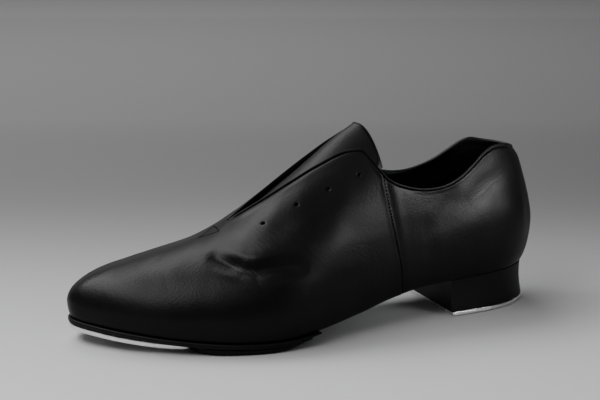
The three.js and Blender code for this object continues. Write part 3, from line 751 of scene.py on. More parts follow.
@dataclass
class Shell:
    """A leather piece on the form: a fine outside, a coarse inside and the edges between them.

    Starts, ends, turns_at, waist and margin_opening are shares of the length, low_rise is a share
    of a column's foot, and the other sizes are millimetres or counts. A row of hole_rings is a
    ring of a lace hole's rim: its radius, and its height over the leather.
    """

    name: str
    starts: float
    ends: float
    turns_at: float
    spacing: float = 0.8
    coarse: int = 4
    rows_foot: int = 24
    rows_shoulder: int = 104
    inside_depth: float = 1.6
    inside_lift: float = 0.9
    margin: float = 12.0
    margin_edge: float = 0.7
    waist_start: float = 0.1986
    waist_end: float = 0.5885
    margin_opening: float = 0.05
    samples: int = 900
    low_rise: float = 0.02
    roll: float = 1.1
    roll_rows: int = 5
    calm_foot: float = 1.0
    calm_blend: float = 8.0
    core_rise: float = 40.0
    holes: tuple[LaceHole, ...] = ()
    hole_block: int = 6
    hole_rings: tuple[tuple[float, float], ...] = (
        (1.8, -0.03), (1.35, -0.14), (1.05, -0.34), (0.92, -0.62), (0.88, -1.0), (0.86, -1.45))
    hole_bottom: float = 1.5
    # Faces this deep in a lace hole get a near-black finish: painted shade in the blind holes
    pit_from: float = 0.45
    pit_to: float = 1.55
    pit_reach: float = 1.1
    pits: list[tuple[Array, Array]] = field(default_factory=list)

    def column_shares(self) -> Array:
        """Shares of the columns of one side, evenly spaced along the form's widest line."""
        inner = (LAST.throat_end, self.waist_start, self.waist_end)
        stops = sorted({self.starts, self.ends, *(s for s in inner if self.starts < s < self.ends)})
        shares = [np.array([self.starts])]
        for a, b in zip(stops[:-1], stops[1:]):
            dense = even_turns(a, b, self.samples)
            run = LAST.outline(dense, wide=True)
            count = max(1, round(run[-1] / self.spacing / self.coarse)) * self.coarse
            shares.append(np.interp(np.linspace(0, run[-1], count + 1)[1:], run, dense))
        return np.concatenate(shares)

    def ring(self) -> tuple[Array, Array, bool]:
        """Columns round the shoe.

        Returns:
            Their shares, whether each is on the outer side, and whether the last joins the first.
        """
        shares = self.column_shares()
        if self.turns_at == self.ends:
            there, back = shares, shares[:-1][::-1]
        else:
            there, back = shares[::-1], shares[1:]
        whole = self.starts == 0 and self.ends == 1
        if whole:
            back = back[:-1]
        ring = np.concatenate([there, back])
        outer = np.concatenate([np.full(len(there), True), np.full(len(back), False)])
        return ring, outer, whole

    def rises(self) -> Array:
        """Heights of the rows over the feather line, with fine rows at the rolled top edge."""
        foot = np.linspace(0, 1, self.rows_foot + 1)[:-1] * LAST.foot_part
        foot[0] = self.low_rise * LAST.foot_part
        shoulder = np.linspace(0, 1, self.rows_shoulder + 1)
        body = LAST.foot_part + (EDGE_RISE - LAST.foot_part) * shoulder
        angle = np.linspace(0, np.pi / 2, self.roll_rows + 1)[1:]
        rolled = EDGE_RISE + (1 - EDGE_RISE) * np.sin(angle)
        rises = np.concatenate([foot, body, rolled])
        # A few rows go, so that the coarse inside ends on the first and last rows
        spare = (len(rises) + 1) % self.coarse
        return np.delete(rises, np.arange(4, 4 + 3 * spare, 3)) if spare else rises

    def outside_depth(self, share: Array, rise: Array) -> Array:
        """Depth of the outside under the form's surface."""
        return np.zeros(np.broadcast(share, rise).shape)

    def grid(self, ring: Array, outer: Array, rises: Array, depth: Array, lift: float) -> Array:
        """Lays the points of one face of the leather.

        Args:
            ring: Shares of the columns.
            outer: Whether each column is on the outer side.
            rises: Heights of the rows.
            depth: Depths of the points under the form's surface.
            lift: Height of the lasting margin over the feather line.

        Returns:
            Points column by column, from the edge of the lasting margin to the top.
        """
        share, side = ring[:, None], outer[:, None]
        wall = LAST.place(share, rises[None, :], side, depth, lift)
        base = LAST.section(LAST.lean(ring, np.zeros(len(ring))), outer)
        opened = np.maximum(
            smooth((self.waist_start - ring) / self.margin_opening),
            smooth((ring - self.waist_end) / self.margin_opening))
        reach = (base.wide - base.bulge - self.margin) * opened

        def under(distance: Array) -> Array:
            """Points under the foot at a distance from the middle line."""
            x = base.centre_x + base.out_x * distance
            y = base.centre_y + base.out_y * distance
            return np.stack([x, y, LAST.feather(x / LAST.length) + lift], axis=-1)[:, None]

        edge = base.wide - base.bulge - self.margin_edge
        return np.concatenate([under(reach), under(edge), wall], axis=1)

    def punch(self, draft: Draft, grid: Array, normals: Array, start: int, hole: LaceHole) -> Array:
        """Opens a lace hole in the outside and lines it with a rolled rim.

        Args:
            draft: Mesh to add to.
            grid: Points of the outside.
            normals: Normals of the outside.
            start: Number of the grid's first point in the draft.
            hole: The hole.

        Returns:
            Column, row and size of the block of faces that the hole takes.
        """
        block = self.hole_block
        columns, rows = grid.shape[:2]
        centre = hole.centre()
        c, r = np.unravel_index(np.argmin(np.linalg.norm(grid - centre, axis=2)), (columns, rows))
        normal = normals[c, r]
        u = np.cross(normal, [0, 1.0, 0.0])
        u /= np.linalg.norm(u)
        v = np.cross(normal, u)
        c0, r0 = c - block // 2, r - block // 2
        steps = range(block)
        loop = [(c0 + k, r0) for k in steps] + [(c0 + block, r0 + k) for k in steps]
        loop += [(c0 + block - k, r0 + block) for k in steps] + [(c0, r0 + block - k) for k in steps]
        edge = np.array([grid[i, j] for i, j in loop])
        middle = grid[c, r]
        self.pits.append((middle, normal))
        flat = edge - middle
        across, along, off = flat @ u, flat @ v, flat @ normal
        size = np.hypot(across, along)
        rings = [np.array([start + i * rows + j for i, j in loop])]
        for radius, height in self.hole_rings:
            share = radius / size
            spot = (middle + (across * share)[:, None] * u + (along * share)[:, None] * v
                    + (off * share ** 2 + height)[:, None] * normal)
            rings.append(np.arange(len(loop)) + draft.add(spot))
        for a, b in zip(rings[:-1], rings[1:]):
            following = np.roll(np.arange(len(loop)), -1)
            draft.face(np.stack([a, a[following], b[following], b], axis=-1).tolist())
        tip = draft.add(middle - self.hole_bottom * normal)
        last = rings[-1]
        draft.face([(last[k], last[(k + 1) % len(last)], tip) for k in range(len(last))])
        return np.array([c0, r0, block])

    def pit_faces(self, mesh: bpy.types.Mesh) -> Array:
        """Numbers of the faces deep in the lace holes, which carry the painted shade."""
        centres = np.empty(3 * len(mesh.polygons))
        mesh.polygons.foreach_get("center", centres)
        centres = centres.reshape(-1, 3) / MILLIMETRE - FORM_ORIGIN
        deep = np.zeros(len(centres), bool)
        for middle, normal in self.pits:
            away = centres - middle
            down = -away @ normal
            out = np.linalg.norm(away + down[:, None] * normal, axis=1)
            deep |= (down > self.pit_from) & (down < self.pit_to) & (out < self.pit_reach)
        return np.flatnonzero(deep)

    def build(self) -> bpy.types.Object:
        """Builds the piece as one closed solid.

        Returns:
            The Blender object.
        """
        ring, outer, wrap = self.ring()
        rises = self.rises()
        share, rise = np.broadcast_arrays(ring[:, None], rises[None, :])
        outside = self.grid(ring, outer, rises, self.outside_depth(share, rise), 0.0)
        columns, rows = outside.shape[:2]
        faces = grid_faces(columns, rows, wrap=wrap)
        normals = surface_normals(outside, faces)
        middle = np.array([LAST.length / 2, 0, self.core_rise])
        if np.einsum("ijk,ijk->ij", normals, outside - middle).mean() < 0:
            normals = -normals
        inside = self.grid(ring, outer, rises, self.inner_depth(share, rise), self.inside_lift)
        over = outside[..., 2] - LAST.feather(share[:, :1])
        low = smooth((over - self.calm_foot) / self.calm_blend)
        held = np.concatenate([np.ones((columns, 2)), smooth((1 - rise) / CALM_EDGE)], axis=1)
        moved = normals * (RELIEF.relief(outside) * low * held)[..., None]
        outside, inside = outside + moved, (inside + moved)[::self.coarse, ::self.coarse]
        fresh = surface_normals(outside, faces)
        normals = fresh * np.sign(np.einsum("ijk,ijk->ij", fresh, normals))[..., None]
        draft = Draft()
        start = draft.add(outside)
        taken = np.zeros((columns, rows - 1), bool)
        for hole in self.holes:
            c, r, block = self.punch(draft, outside, normals, start, hole)
            taken[c:c + block, r:r + block] = True
        keep = ~taken[: columns if wrap else columns - 1].ravel()
        draft.faces.append(faces[keep])
        inner_start = draft.add(inside)
        few, low = inside.shape[:2]
        draft.faces.append(grid_faces(few, low, inner_start, wrap)[:, ::-1])
        self.close_edges(draft, ring, rows, few, low, inner_start, wrap)
        return draft.piece(self.name)

    def inner_depth(self, share: Array, rise: Array) -> Array:
        """Depth of the inside under the form's surface."""
        return np.full(np.broadcast(share, rise).shape, self.inside_depth)

    def close_edges(self, draft: Draft, ring: Array, rows: int, few: int, low: int, inner: int,
                    wrap: bool) -> None:
        """Closes the rims between outside and inside.

        Args:
            draft: Mesh to add to; the outside starts at point 0.
            ring: Shares of the fine columns.
            rows: Rows of the outside.
            few: Columns of the inside.
            low: Rows of the inside.
            inner: Number of the inside's first point.
            wrap: Whether the ring is closed.
        """
        k = self.coarse
        count = len(ring)
        for i in range(few if wrap else few - 1):
            following = (i + 1) % few
            shares = ring[i * k], ring[following * k]
            fine = [(i * k + j) % count for j in range(k + 1)]
            closed = all(self.waist_start <= s <= self.waist_end for s in shares)
            if not closed:
                draft.bridge([c * rows for c in fine], inner + i * low, inner + following * low)
            if min(shares) < LAST.throat_end:
                run = [c * rows + rows - 1 for c in fine][::-1]
                draft.bridge(run, inner + following * low + low - 1, inner + i * low + low - 1)
        if wrap:
            return
        for i in range(low - 1):
            run = [j for j in range(i * k, i * k + k + 1)]
            draft.bridge(run[::-1], inner + i + 1, inner + i)
            last = (count - 1) * rows
            tail = inner + (few - 1) * low
            draft.bridge([last + j for j in run], tail + i, tail + i + 1)


@dataclass
class FrontPiece(Shell):
    """Vamp and facings in one piece, with a turned edge along the ankle seam."""

    edge_round: float = 1.1
    edge_drop: float = 0.9
    edge_columns: tuple[float, ...] = (0.18, 0.4, 0.68, 1.0)
    edge_end: float = 1.3
    edge_swell: float = 0.25
    swell_at: float = 1.5
    swell_width: float = 1.2
    column_height: float = 65.0
    lip: float = 0.3
    lip_at: float = 1.9
    lip_width: float = 1.2
    lip_blend: float = 0.02
    tip_blend: float = 0.006
    thin_depth: float = 0.95
    thin_until: float = 4.0
    thin_blend: float = 5.0

    def column_shares(self) -> Array:
        """Even columns, with fine ones over the turned edge."""
        shares = super().column_shares()
        fine = self.starts + np.array(self.edge_columns) / LAST.length
        kept = shares[shares > self.starts + self.edge_end / LAST.length]
        merged = np.concatenate([shares[:1], fine, kept])
        # A few columns go, so that the coarse inside ends on the first and last columns
        spare = (len(merged) - 1) % self.coarse
        return np.delete(merged, np.arange(8, 8 + 2 * spare, 2)) if spare else merged

    def outside_depth(self, share: Array, rise: Array) -> Array:
        """Turned edge at the seam and rolled edge at the top."""
        run = (share - self.starts) * LAST.length
        turned = self.edge_drop * quarter_round(1 - run / self.edge_round)
        swell = self.edge_swell * swelling(run, self.swell_at, self.swell_width)
        hump = swelling((1 - rise) * self.column_height, self.lip_at, self.lip_width)
        lip = self.lip * hump * smooth((LAST.throat_tip - share) / self.lip_blend)
        return turned - swell - lip + self.rolled(share, rise)

    def rolled(self, share: Array, rise: Array) -> Array:
        """Depth of the edge under the piping."""
        opened = 1 - smooth((share - LAST.throat_tip + self.tip_blend) / self.tip_blend)
        return self.roll * quarter_round((rise - EDGE_RISE) / EDGE_PART) * opened

    def inner_depth(self, share: Array, rise: Array) -> Array:
        """Thin over the edge of the heel piece, full further on."""
        run = (share - self.starts) * LAST.length
        full = smooth((run - self.thin_until) / self.thin_blend)
        full = np.broadcast_to(full, np.broadcast(share, rise).shape)
        return self.thin_depth + (self.inside_depth - self.thin_depth) * full


@dataclass
class HeelPiece(Shell):
    """Counter and quarters in one piece, tucked under the front piece at the seam."""

    step: float = 0.8
    groove: float = 0.35
    groove_at: float = 1.6
    groove_width: float = 2.0
    swell: float = 0.3
    swell_at: float = 6.5
    swell_width: float = 3.0
    swell_from: float = 0.2
    swell_blend: float = 0.5
    tuck: float = 0.15
    tuck_blend: float = 2.0
    roll_less: float = 0.3

    def outside_depth(self, share: Array, rise: Array) -> Array:
        """Groove and soft ridge behind the seam, and the rolled edge under the piping."""
        share, rise = np.broadcast_arrays(share, rise)
        behind = (LAST.seam - share) * LAST.length
        groove = self.groove * swelling(behind, self.groove_at, self.groove_width)
        hump = swelling(behind, self.swell_at, self.swell_width)
        swell = self.swell * hump * smooth((rise - self.swell_from) / self.swell_blend)
        tucked = self.tuck * smooth(-behind / self.tuck_blend)
        rolled = (self.roll - self.roll_less) * quarter_round((rise - EDGE_RISE) / EDGE_PART)
        return self.step + groove - swell + tucked + rolled


@dataclass
class Lining(Shell):
    """Cloth and leather lining of the whole shoe."""

    face_depth: float = 1.75

    def outside_depth(self, share: Array, rise: Array) -> Array:
        """The lining lies right under the leather."""
        return np.full(np.broadcast(share, rise).shape, self.face_depth)


@dataclass
class Piping:
    """Rolled strip on the edge of collar and facings, from the foot of the throat and back."""

    name: str = "collar_piping_roll"
    front: float = 0.679
    stations: int = 360
    sides: int = 24
    squareness: float = 0.8
    gap: float = 0.15
    throat_gap: float = 0.6
    throat_from: float = 0.43
    throat_blend: float = 0.03
    nose: float = 1.0
    nose_reach: float = 0.02
    nose_blend: float = 0.015
    top: float = 0.05
    binding: float = 4.6
    binding_from: float = 0.75
    binding_blend: float = 0.35
    swell: float = 0.35
    wall: float = 2.5
    step: float = 0.8
    step_blend: float = 0.03

    def path(self) -> tuple[Array, Array]:
        """Shares of the stations and whether each is on the outer side."""
        shares = even_turns(0.0, self.front, self.stations)
        ring = np.concatenate([shares[::-1], shares[1:]])
        return ring, np.arange(len(ring)) < len(shares)

    def build(self) -> bpy.types.Object:
        """Sweeps the rolled section along the edge.

        Returns:
            The Blender object.
        """
        ring, outer = self.path()
        phi = np.arange(self.sides) / self.sides * 2 * np.pi
        s = LAST.section(ring[:, None], outer[:, None])
        nose = self.nose * smooth((s.share - self.front + self.nose_reach) / self.nose_blend)
        lower = self.throat_gap * smooth((s.share - self.throat_from) / self.throat_blend)
        height = LAST.strip(s.share) - self.gap - lower + nose
        outside, inside, tip = (LAST.angle_below(s, d) for d in (height, self.binding, self.top))
        bound = smooth((np.cos(phi) + self.binding_from) / self.binding_blend)
        foot = inside + (outside - inside) * bound
        back = self.step * (1 - smooth((ring - LAST.seam) / self.step_blend + 0.5))[:, None]
        half = (self.wall - back) / 2 + self.swell
        middle = (self.wall + back) / 2
        round_cos, round_sin = (
            np.sign(v) * np.abs(v) ** self.squareness for v in (np.cos(phi), np.sin(phi)))
        depth = middle - half * round_cos
        t = 0.5 + 0.5 * round_sin
        points = LAST.shoulder_point(s, foot + (tip - foot) * t, depth)
        draft = Draft()
        start = draft.add(points)
        count = len(ring)
        i, j = np.meshgrid(np.arange(count - 1), np.arange(self.sides), indexing="ij")
        k = (j + 1) % self.sides
        ahead, side = (i + 1) * self.sides, i * self.sides
        corners = (side + j, ahead + j, ahead + k, side + k)
        draft.faces.append(np.stack([c.ravel() for c in corners], axis=-1) + start)
        for end, order in ((0, 1), (count - 1, -1)):
            tip_point = draft.add(points[end].mean(axis=0))
            loop = list(range(end * self.sides, (end + 1) * self.sides))[::order]
            draft.face([(loop[n], loop[(n + 1) % self.sides], tip_point) for n in range(self.sides)])
        return draft.piece(self.name, sharp=60)


@dataclass
class Tongue:
    """Sheet under the facings that stands out over the collar."""

    name: str = "tongue_sheet"
    front: float = 0.7
    top: float = 0.403
    sweep: float = 8.8
    sweep_power: float = 1.15
    half_width: float = 27.0
    spread: float = 0.8
    thickness: float = 1.6
    depth: float = 3.15
    edge_round: float = 0.8
    edge_drop: float = 0.7
    edge_spans: tuple[float, float] = (25.0, 80.0)
    softness: float = 0.18
    waves: tuple[float, float, float] = (9.0, 6.0, 14.0)
    columns: int = 96
    rows: int = 60

    def spot(self, t: Array, across: Array) -> tuple[Array, Array]:
        """Places in plan of points on the tongue.

        Args:
            t: Share of the way from the front end to the top.
            across: Place across, -1 to 1.

        Returns:
            Arrays x and y.
        """
        front = self.front * LAST.length
        end = self.top * LAST.length - self.sweep * np.abs(across) ** self.sweep_power
        x = front + (end - front) * t
        half = TONGUE.read("half", t) * self.half_width
        room = LAST.section(x / LAST.length, across > 0).wide * self.spread
        return x, LAST.crest(x / LAST.length) + across * np.minimum(half, room)

    def build(self) -> bpy.types.Object:
        """Builds the sheet with rounded edges.

        Returns:
            The Blender object.
        """
        t = np.linspace(0, 1, self.columns)[:, None]
        across = np.linspace(-1, 1, self.rows)[None, :]
        t, across = np.broadcast_arrays(t, across)
        x, y = self.spot(t, across)
        wide, long = self.edge_spans
        edge = np.minimum(np.minimum((1 - np.abs(across)) * wide, (1 - t) * long), t * long)
        tuck = self.edge_drop * quarter_round(1 - edge / self.edge_round)
        along, side, slow = self.waves
        soft = self.softness * np.sin(x / along + y / side) * np.sin(x / slow - 1)
        upper = LAST.under(x, y, self.depth + tuck - soft * (edge > 1))
        lower = LAST.under(x, y, self.depth + self.thickness - tuck)
        draft = Draft()
        a, b = draft.add(upper), draft.add(lower)
        draft.faces.append(grid_faces(self.columns, self.rows, a))
        draft.faces.append(grid_faces(self.columns, self.rows, b)[:, ::-1])
        number = np.arange(self.columns * self.rows).reshape(self.columns, self.rows)
        rim = np.concatenate([number[:, 0], number[-1, 1:], number[-2::-1, -1], number[0, -2:0:-1]])
        following = np.roll(rim, -1)
        draft.faces.append(np.stack([b + rim, b + following, a + following, a + rim], axis=-1)[:, ::-1])
        return draft.piece(self.name)


# Sole, heel and taps


Profile = tuple[tuple[float, float], ...]


@dataclass
class Layer:
    """A layer of the sole between two places along the shoe.

    A row of the profile is a line round the layer: how far inside the sole's outline it lies, and
    its share of the way up from the underside. Height gives the height of such a share at places
    along the shoe, and corner how much further in a line lies where the layer's corners are cut.
    """

    name: str
    starts: float
    ends: float
    profile: Profile
    height: Callable[[Array, float], Array]
    corner: Callable[[Array], Array] = np.zeros_like
    spacing: float = 1.2
    samples: int = 700
    sharp: float = 40.0

    def shares(self) -> Array:
        """Stations, evenly spaced along the sole's outline."""
        dense = even_turns(self.starts, self.ends, self.samples)
        run = LAST.outline(dense, wide=False)
        return np.interp(np.linspace(0, run[-1], int(run[-1] / self.spacing) + 2), run, dense)

    def build(self) -> bpy.types.Object:
        """Builds the layer as one closed solid.

        Returns:
            The Blender object.
        """
        shares = self.shares()
        both = np.concatenate([shares, shares[::-1]])
        outer = np.arange(len(both)) < len(shares)
        s = LAST.section(both, outer)
        cut = self.corner(both)
        columns = []
        for inset, level in self.profile:
            r = s.reach - (inset + cut)
            x, y = s.centre_x + s.out_x * r, s.centre_y + s.out_y * r
            columns.append(np.stack([x, y, self.height(x / LAST.length, level)], axis=-1))
        points = np.stack(columns, axis=1)
        rows, count = len(self.profile), len(shares)
        draft = Draft()
        draft.add(points)
        draft.faces.append(grid_faces(2 * count, rows, wrap=True))
        i = np.arange(count - 1)
        for row, order in ((0, 1), (rows - 1, -1)):
            mirror = 2 * count - 1 - i
            loop = np.stack([i * rows, mirror * rows, (mirror - 1) * rows, (i + 1) * rows], axis=-1) + row
            draft.faces.append(loop[:, ::order])
        return draft.piece(self.name, self.sharp)


@dataclass
class SoleUnit:
    """Outsole, ball pad, toe tap, heel block and heel tap."""

    sole: float = 3.0
    tap: float = 2.8
    skived_to: float = 0.9
    skive_length: float = 26.0
    tap_gap: float = 1.0
    tap_corner: float = 48.0
    tap_turn: float = 10.5
    pad_corner: float = 14.0
    pad_turn: float = 4.0
    heel_length: float = 62.0
    heel_waist: float = 1.7
    waist_turn: float = 0.7
    heel_inset: float = 0.4
    heel_edge: float = 0.03
    heel_chamfer: float = 0.45
    heel_tap: float = 2.4
    sole_rear: float = 0.546
    pad_rear: float = 0.567
    tap_rear: float = 0.797
    sole_profile: Profile = (
        (0.8, 0.0), (0.25, 0.06), (0.0, 0.18), (0.0, 0.40), (0.10, 0.44), (0.22, 0.47), (0.10, 0.50),
        (0.0, 0.54), (0.0, 0.72), (0.10, 0.84), (0.32, 0.94), (0.8, 1.0), (2.6, 1.0))
    pad_profile: Profile = (
        (1.7, 0.0), (1.1, 0.05), (0.85, 0.16), (0.8, 0.3), (0.8, 0.8), (0.95, 0.95), (1.3, 1.0))
    toe_profile: Profile = (
        (0.9, 0.0), (0.55, 0.06), (0.42, 0.16), (0.4, 0.3), (0.4, 0.88), (0.5, 0.97), (0.75, 1.0))
    plate_profile: Profile = (
        (2.4, 0.0), (1.2, 0.04), (0.5, 0.12), (0.2, 0.2), (0.22, 0.3), (0.42, 0.88), (0.52, 0.97),
        (0.78, 1.0))

    def skived(self, thickness: float, rear: float, share: Array) -> Array:
        """Thickness of a layer that is thinned towards its rear end."""
        t = smooth((share - rear) * LAST.length / self.skive_length)
        return self.skived_to + (thickness - self.skived_to) * t

    def sole_height(self, share: Array, level: float) -> Array:
        """Height in the outsole, at a share of the way up."""
        top = LAST.feather(share) - LAST.clearance
        return top - self.skived(self.sole, self.sole_rear, share) * (1 - level)

    def tread(self, share: Array) -> Array:
        """Underside of the outsole where it has its full thickness, less the gap below it."""
        return LAST.feather(share) - 2 * LAST.clearance - self.sole

    def pad_height(self, share: Array, level: float) -> Array:
        """Height in the ball pad, at a share of the way up."""
        top = self.tread(share) + self.sole - self.skived(self.sole, self.sole_rear, share)
        return top - self.skived(self.tap, self.pad_rear, share) * (1 - level)

    def toe_height(self, share: Array, level: float) -> Array:
        """Height in the toe tap, at a share of the way up."""
        return self.tread(share) - self.tap * (1 - level)

    def block_height(self, share: Array, level: float) -> Array:
        """Height in the heel block, at a share of the way up."""
        low = self.heel_tap + LAST.clearance
        return low + (LAST.feather(share) - LAST.clearance - low) * level

    def plate_height(self, share: Array, level: float) -> Array:
        """Height in the heel tap, at a share of the way up."""
        return np.full(share.shape, self.heel_tap * level)

    def pad_front(self) -> float:
        """Place of the ball pad's front end."""
        return self.tap_rear - self.tap_gap / LAST.length

    def pad_cut(self, share: Array) -> Array:
        """How much the ball pad's front corners are rounded off."""
        run = (self.pad_front() - share) * LAST.length
        return self.pad_turn * quarter_round(1 - run / self.pad_corner)

    def toe_cut(self, share: Array) -> Array:
        """How much the toe tap's rear corners are rounded off."""
        run = (share - self.tap_rear) * LAST.length
        return self.tap_turn * quarter_round(1 - run / self.tap_corner)

    def block_profile(self) -> Profile:
        """Heel block with a slight waist, its lower edge chamfered."""
        levels = [0.0, 0.015, 0.03, *np.linspace(0.06, 0.94, 15).tolist(), 0.97, 0.985, 1.0]
        rows = []
        for level in levels:
            end = max(0.0, self.heel_edge - level) / self.heel_edge
            waist = self.heel_waist * math.sin(level * math.pi * self.waist_turn)
            rows.append((self.heel_inset + waist + self.heel_chamfer * end ** 2, level))
        return tuple(rows)

    def layers(self) -> dict[str, Layer]:
        """The layers, by the CAD node that each replaces."""
        heel_end = self.heel_length / LAST.length
        plate_end = (self.heel_length - self.tap_gap) / LAST.length
        return {
            "outsole": Layer("outsole_rubber", self.sole_rear, 1.0, self.sole_profile,
                             self.sole_height, sharp=70),
            "ball_pad": Layer("ball_pad_rubber", self.pad_rear, self.pad_front(), self.pad_profile,
                              self.pad_height, self.pad_cut),
            "toe_tap": Layer("toe_tap_metal", self.tap_rear, 1.0, self.toe_profile,
                             self.toe_height, self.toe_cut),
            "heel_block": Layer("heel_block_rubber", 0.0, heel_end, self.block_profile(),
                                self.block_height, sharp=50),
            "heel_tap": Layer("heel_tap_metal", 0.0, plate_end, self.plate_profile,
                              self.plate_height),
        }


# Stitches, by Geometry Nodes


@dataclass(frozen=True)
class StitchRun:
    """Sizes of a row of stitches, in millimetres."""

    pitch: float
    length: float
    thickness: float


class StitchTree:
    """Geometry Nodes tree that lays stitches along a line of edges."""

    KINDS = {
        "given": "NodeGroupInput", "curve": "GeometryNodeMeshToCurve",
        "even": "GeometryNodeResampleCurve", "spots": "GeometryNodeCurveToPoints",
        "aim": "FunctionNodeAlignRotationToVector", "seed": "GeometryNodeMeshUVSphere",
        "size": "ShaderNodeCombineXYZ", "lay": "GeometryNodeInstanceOnPoints",
        "real": "GeometryNodeRealizeInstances", "shade": "GeometryNodeSetShadeSmooth",
        "dress": "GeometryNodeSetMaterial", "made": "NodeGroupOutput"}
    LINKS = (
        "given.Path curve.Mesh", "curve.Curve even.Curve", "given.Pitch even.Length",
        "even.Curve spots.Curve", "spots.Tangent aim.Vector", "given.Thickness size.X",
        "given.Thickness size.Y", "given.Length size.Z", "spots.Points lay.Points",
        "seed.Mesh lay.Instance", "aim.Rotation lay.Rotation", "size.Vector lay.Scale",
        "lay.Instances real.Geometry", "real.Geometry shade.Geometry",
        "shade.Geometry dress.Geometry", "given.Thread dress.Material",
        "dress.Geometry made.Stitches")
    SEED = {"Segments": 8, "Rings": 6, "Radius": 0.5}

    def __init__(self) -> None:
        """Builds the tree once."""
        self.tree = bpy.data.node_groups.new("stitch_run", "GeometryNodeTree")
        self.sockets: dict[str, str] = {}
        self.socket("Path", "Geometry")
        for name in ("Pitch", "Length", "Thickness"):
            self.socket(name, "Float")
        self.socket("Thread", "Material")
        self.socket("Stitches", "Geometry", "OUTPUT")
        nodes = {name: self.tree.nodes.new(kind) for name, kind in self.KINDS.items()}
        nodes["even"].mode = "LENGTH"
        nodes["spots"].mode = "EVALUATED"
        nodes["aim"].axis = "Z"
        for key, value in self.SEED.items():
            nodes["seed"].inputs[key].default_value = value
        for link in self.LINKS:
            (a, leaves), (b, enters) = (end.split(".") for end in link.split())
            self.tree.links.new(nodes[a].outputs[leaves], nodes[b].inputs[enters])

    def socket(self, name: str, kind: str, way: str = "INPUT") -> None:
        """Adds a named socket to the tree and keeps its identifier."""
        made = self.tree.interface.new_socket(name, in_out=way, socket_type="NodeSocket" + kind)
        self.sockets[name] = made.identifier

    def lay(self, name: str, paths: list[Array], run: StitchRun,
            thread: bpy.types.Material) -> bpy.types.Object:
        """Lays stitches along paths.

        Args:
            name: Name of the piece.
            paths: Lines of points, in millimetres of the form.
            run: Sizes of the stitches.
            thread: Material.

        Returns:
            A plain mesh of the stitches.
        """
        edges, first = [], 0
        for path in paths:
            edges += [(first + k, first + k + 1) for k in range(len(path) - 1)]
            first += len(path)
        line = bpy.data.meshes.new(name + "_path")
        line.from_pydata(to_frame(np.concatenate(paths)), edges, [])
        carrier = add_object(name + "_path", line)
        modifier = carrier.modifiers.new("stitches", "NODES")
        modifier.node_group = self.tree
        values = {"Pitch": run.pitch, "Length": run.length, "Thickness": run.thickness}
        for key, value in values.items():
            modifier[self.sockets[key]] = value * MILLIMETRE
        modifier[self.sockets["Thread"]] = thread
        graph = bpy.context.evaluated_depsgraph_get()
        graph.update()
        mesh = bpy.data.meshes.new_from_object(carrier.evaluated_get(graph), depsgraph=graph)
        bpy.data.objects.remove(carrier)
        mesh.name = name
        return add_object(name, mesh)


# Finishes


class NodeBoard:
    """A small helper that adds nodes to a tree and joins them."""

    def __init__(self, tree: bpy.types.NodeTree) -> None:
        """Works on one tree."""
        self.tree = tree

    def add(self, kind: str, values: dict[str | int, object] | None = None,
            **settings: object) -> bpy.types.Node:
        """Adds a node.

        Args:
            kind: Blender's name of it.
            values: Values of its inputs.
            settings: Its other settings.

        Returns:
            The node.
        """
        node = self.tree.nodes.new(kind)
        for key, value in settings.items():
            setattr(node, key, value)
        for key, value in (values or {}).items():
            node.inputs[key].default_value = value
        return node

    def join(self, source: bpy.types.NodeSocket, target: bpy.types.NodeSocket) -> None:
        """Joins two sockets."""
        self.tree.links.new(source, target)

    def math(self, operation: str, a: object, b: object = None) -> bpy.types.NodeSocket:
        """Adds a calculation.

        Args:
            operation: Blender's name of it.
            a: First value or socket.
            b: Second value or socket.

        Returns:
            The result's socket.
        """
        node = self.add("ShaderNodeMath", operation=operation)
        for socket, value in zip(node.inputs, (a, b)):
            if isinstance(value, bpy.types.NodeSocket):
                self.join(value, socket)
            elif value is not None:
                socket.default_value = value
        return node.outputs[0]


def shader_group(name: str, inputs: dict[str, float], outputs: tuple[str, ...]) -> tuple[
        bpy.types.NodeTree, NodeBoard, bpy.types.Node, bpy.types.Node]:
    """Starts a shader node group.

    Args:
        name: Its name.
        inputs: Names and first values of its number inputs; Vector is added to them.
        outputs: Names of its number outputs.

    Returns:
        The group, its board, and its input and output nodes.
    """
    tree = bpy.data.node_groups.new(name, "ShaderNodeTree")
    tree.interface.new_socket("Vector", in_out="INPUT", socket_type="NodeSocketVector")
    for key, value in inputs.items():
        socket = tree.interface.new_socket(key, in_out="INPUT", socket_type="NodeSocketFloat")
        socket.default_value = value
    for key in outputs:
        tree.interface.new_socket(key, in_out="OUTPUT", socket_type="NodeSocketFloat")
    board = NodeBoard(tree)
    return tree, board, board.add("NodeGroupInput"), board.add("NodeGroupOutput")


def grain_group() -> bpy.types.NodeTree:
    """Leather grain: small round cells with pores between them.

    Returns:
        Group with inputs Vector, Cells and Softness, and outputs Height and Tone.
    """
    tree, board, given, made = shader_group(
        "leather_grain", {"Cells": 900.0, "Softness": 0.6}, ("Height", "Tone"))
    cells = board.add("ShaderNodeTexVoronoi", feature="SMOOTH_F1")
    fine = board.add("ShaderNodeTexNoise", {"Detail": 3.0})
    for node in (cells, fine):
        board.join(given.outputs["Vector"], node.inputs["Vector"])
    board.join(given.outputs["Cells"], cells.inputs["Scale"])
    board.join(board.math("MULTIPLY", given.outputs["Cells"], 0.45), fine.inputs["Scale"])
    board.join(given.outputs["Softness"], cells.inputs["Smoothness"])
    pores = board.math("MULTIPLY", fine.outputs["Fac"], 0.9)
    height = board.math("SUBTRACT", pores, cells.outputs["Distance"])
    board.join(height, made.inputs["Height"])
    board.join(fine.outputs["Fac"], made.inputs["Tone"])
    return tree


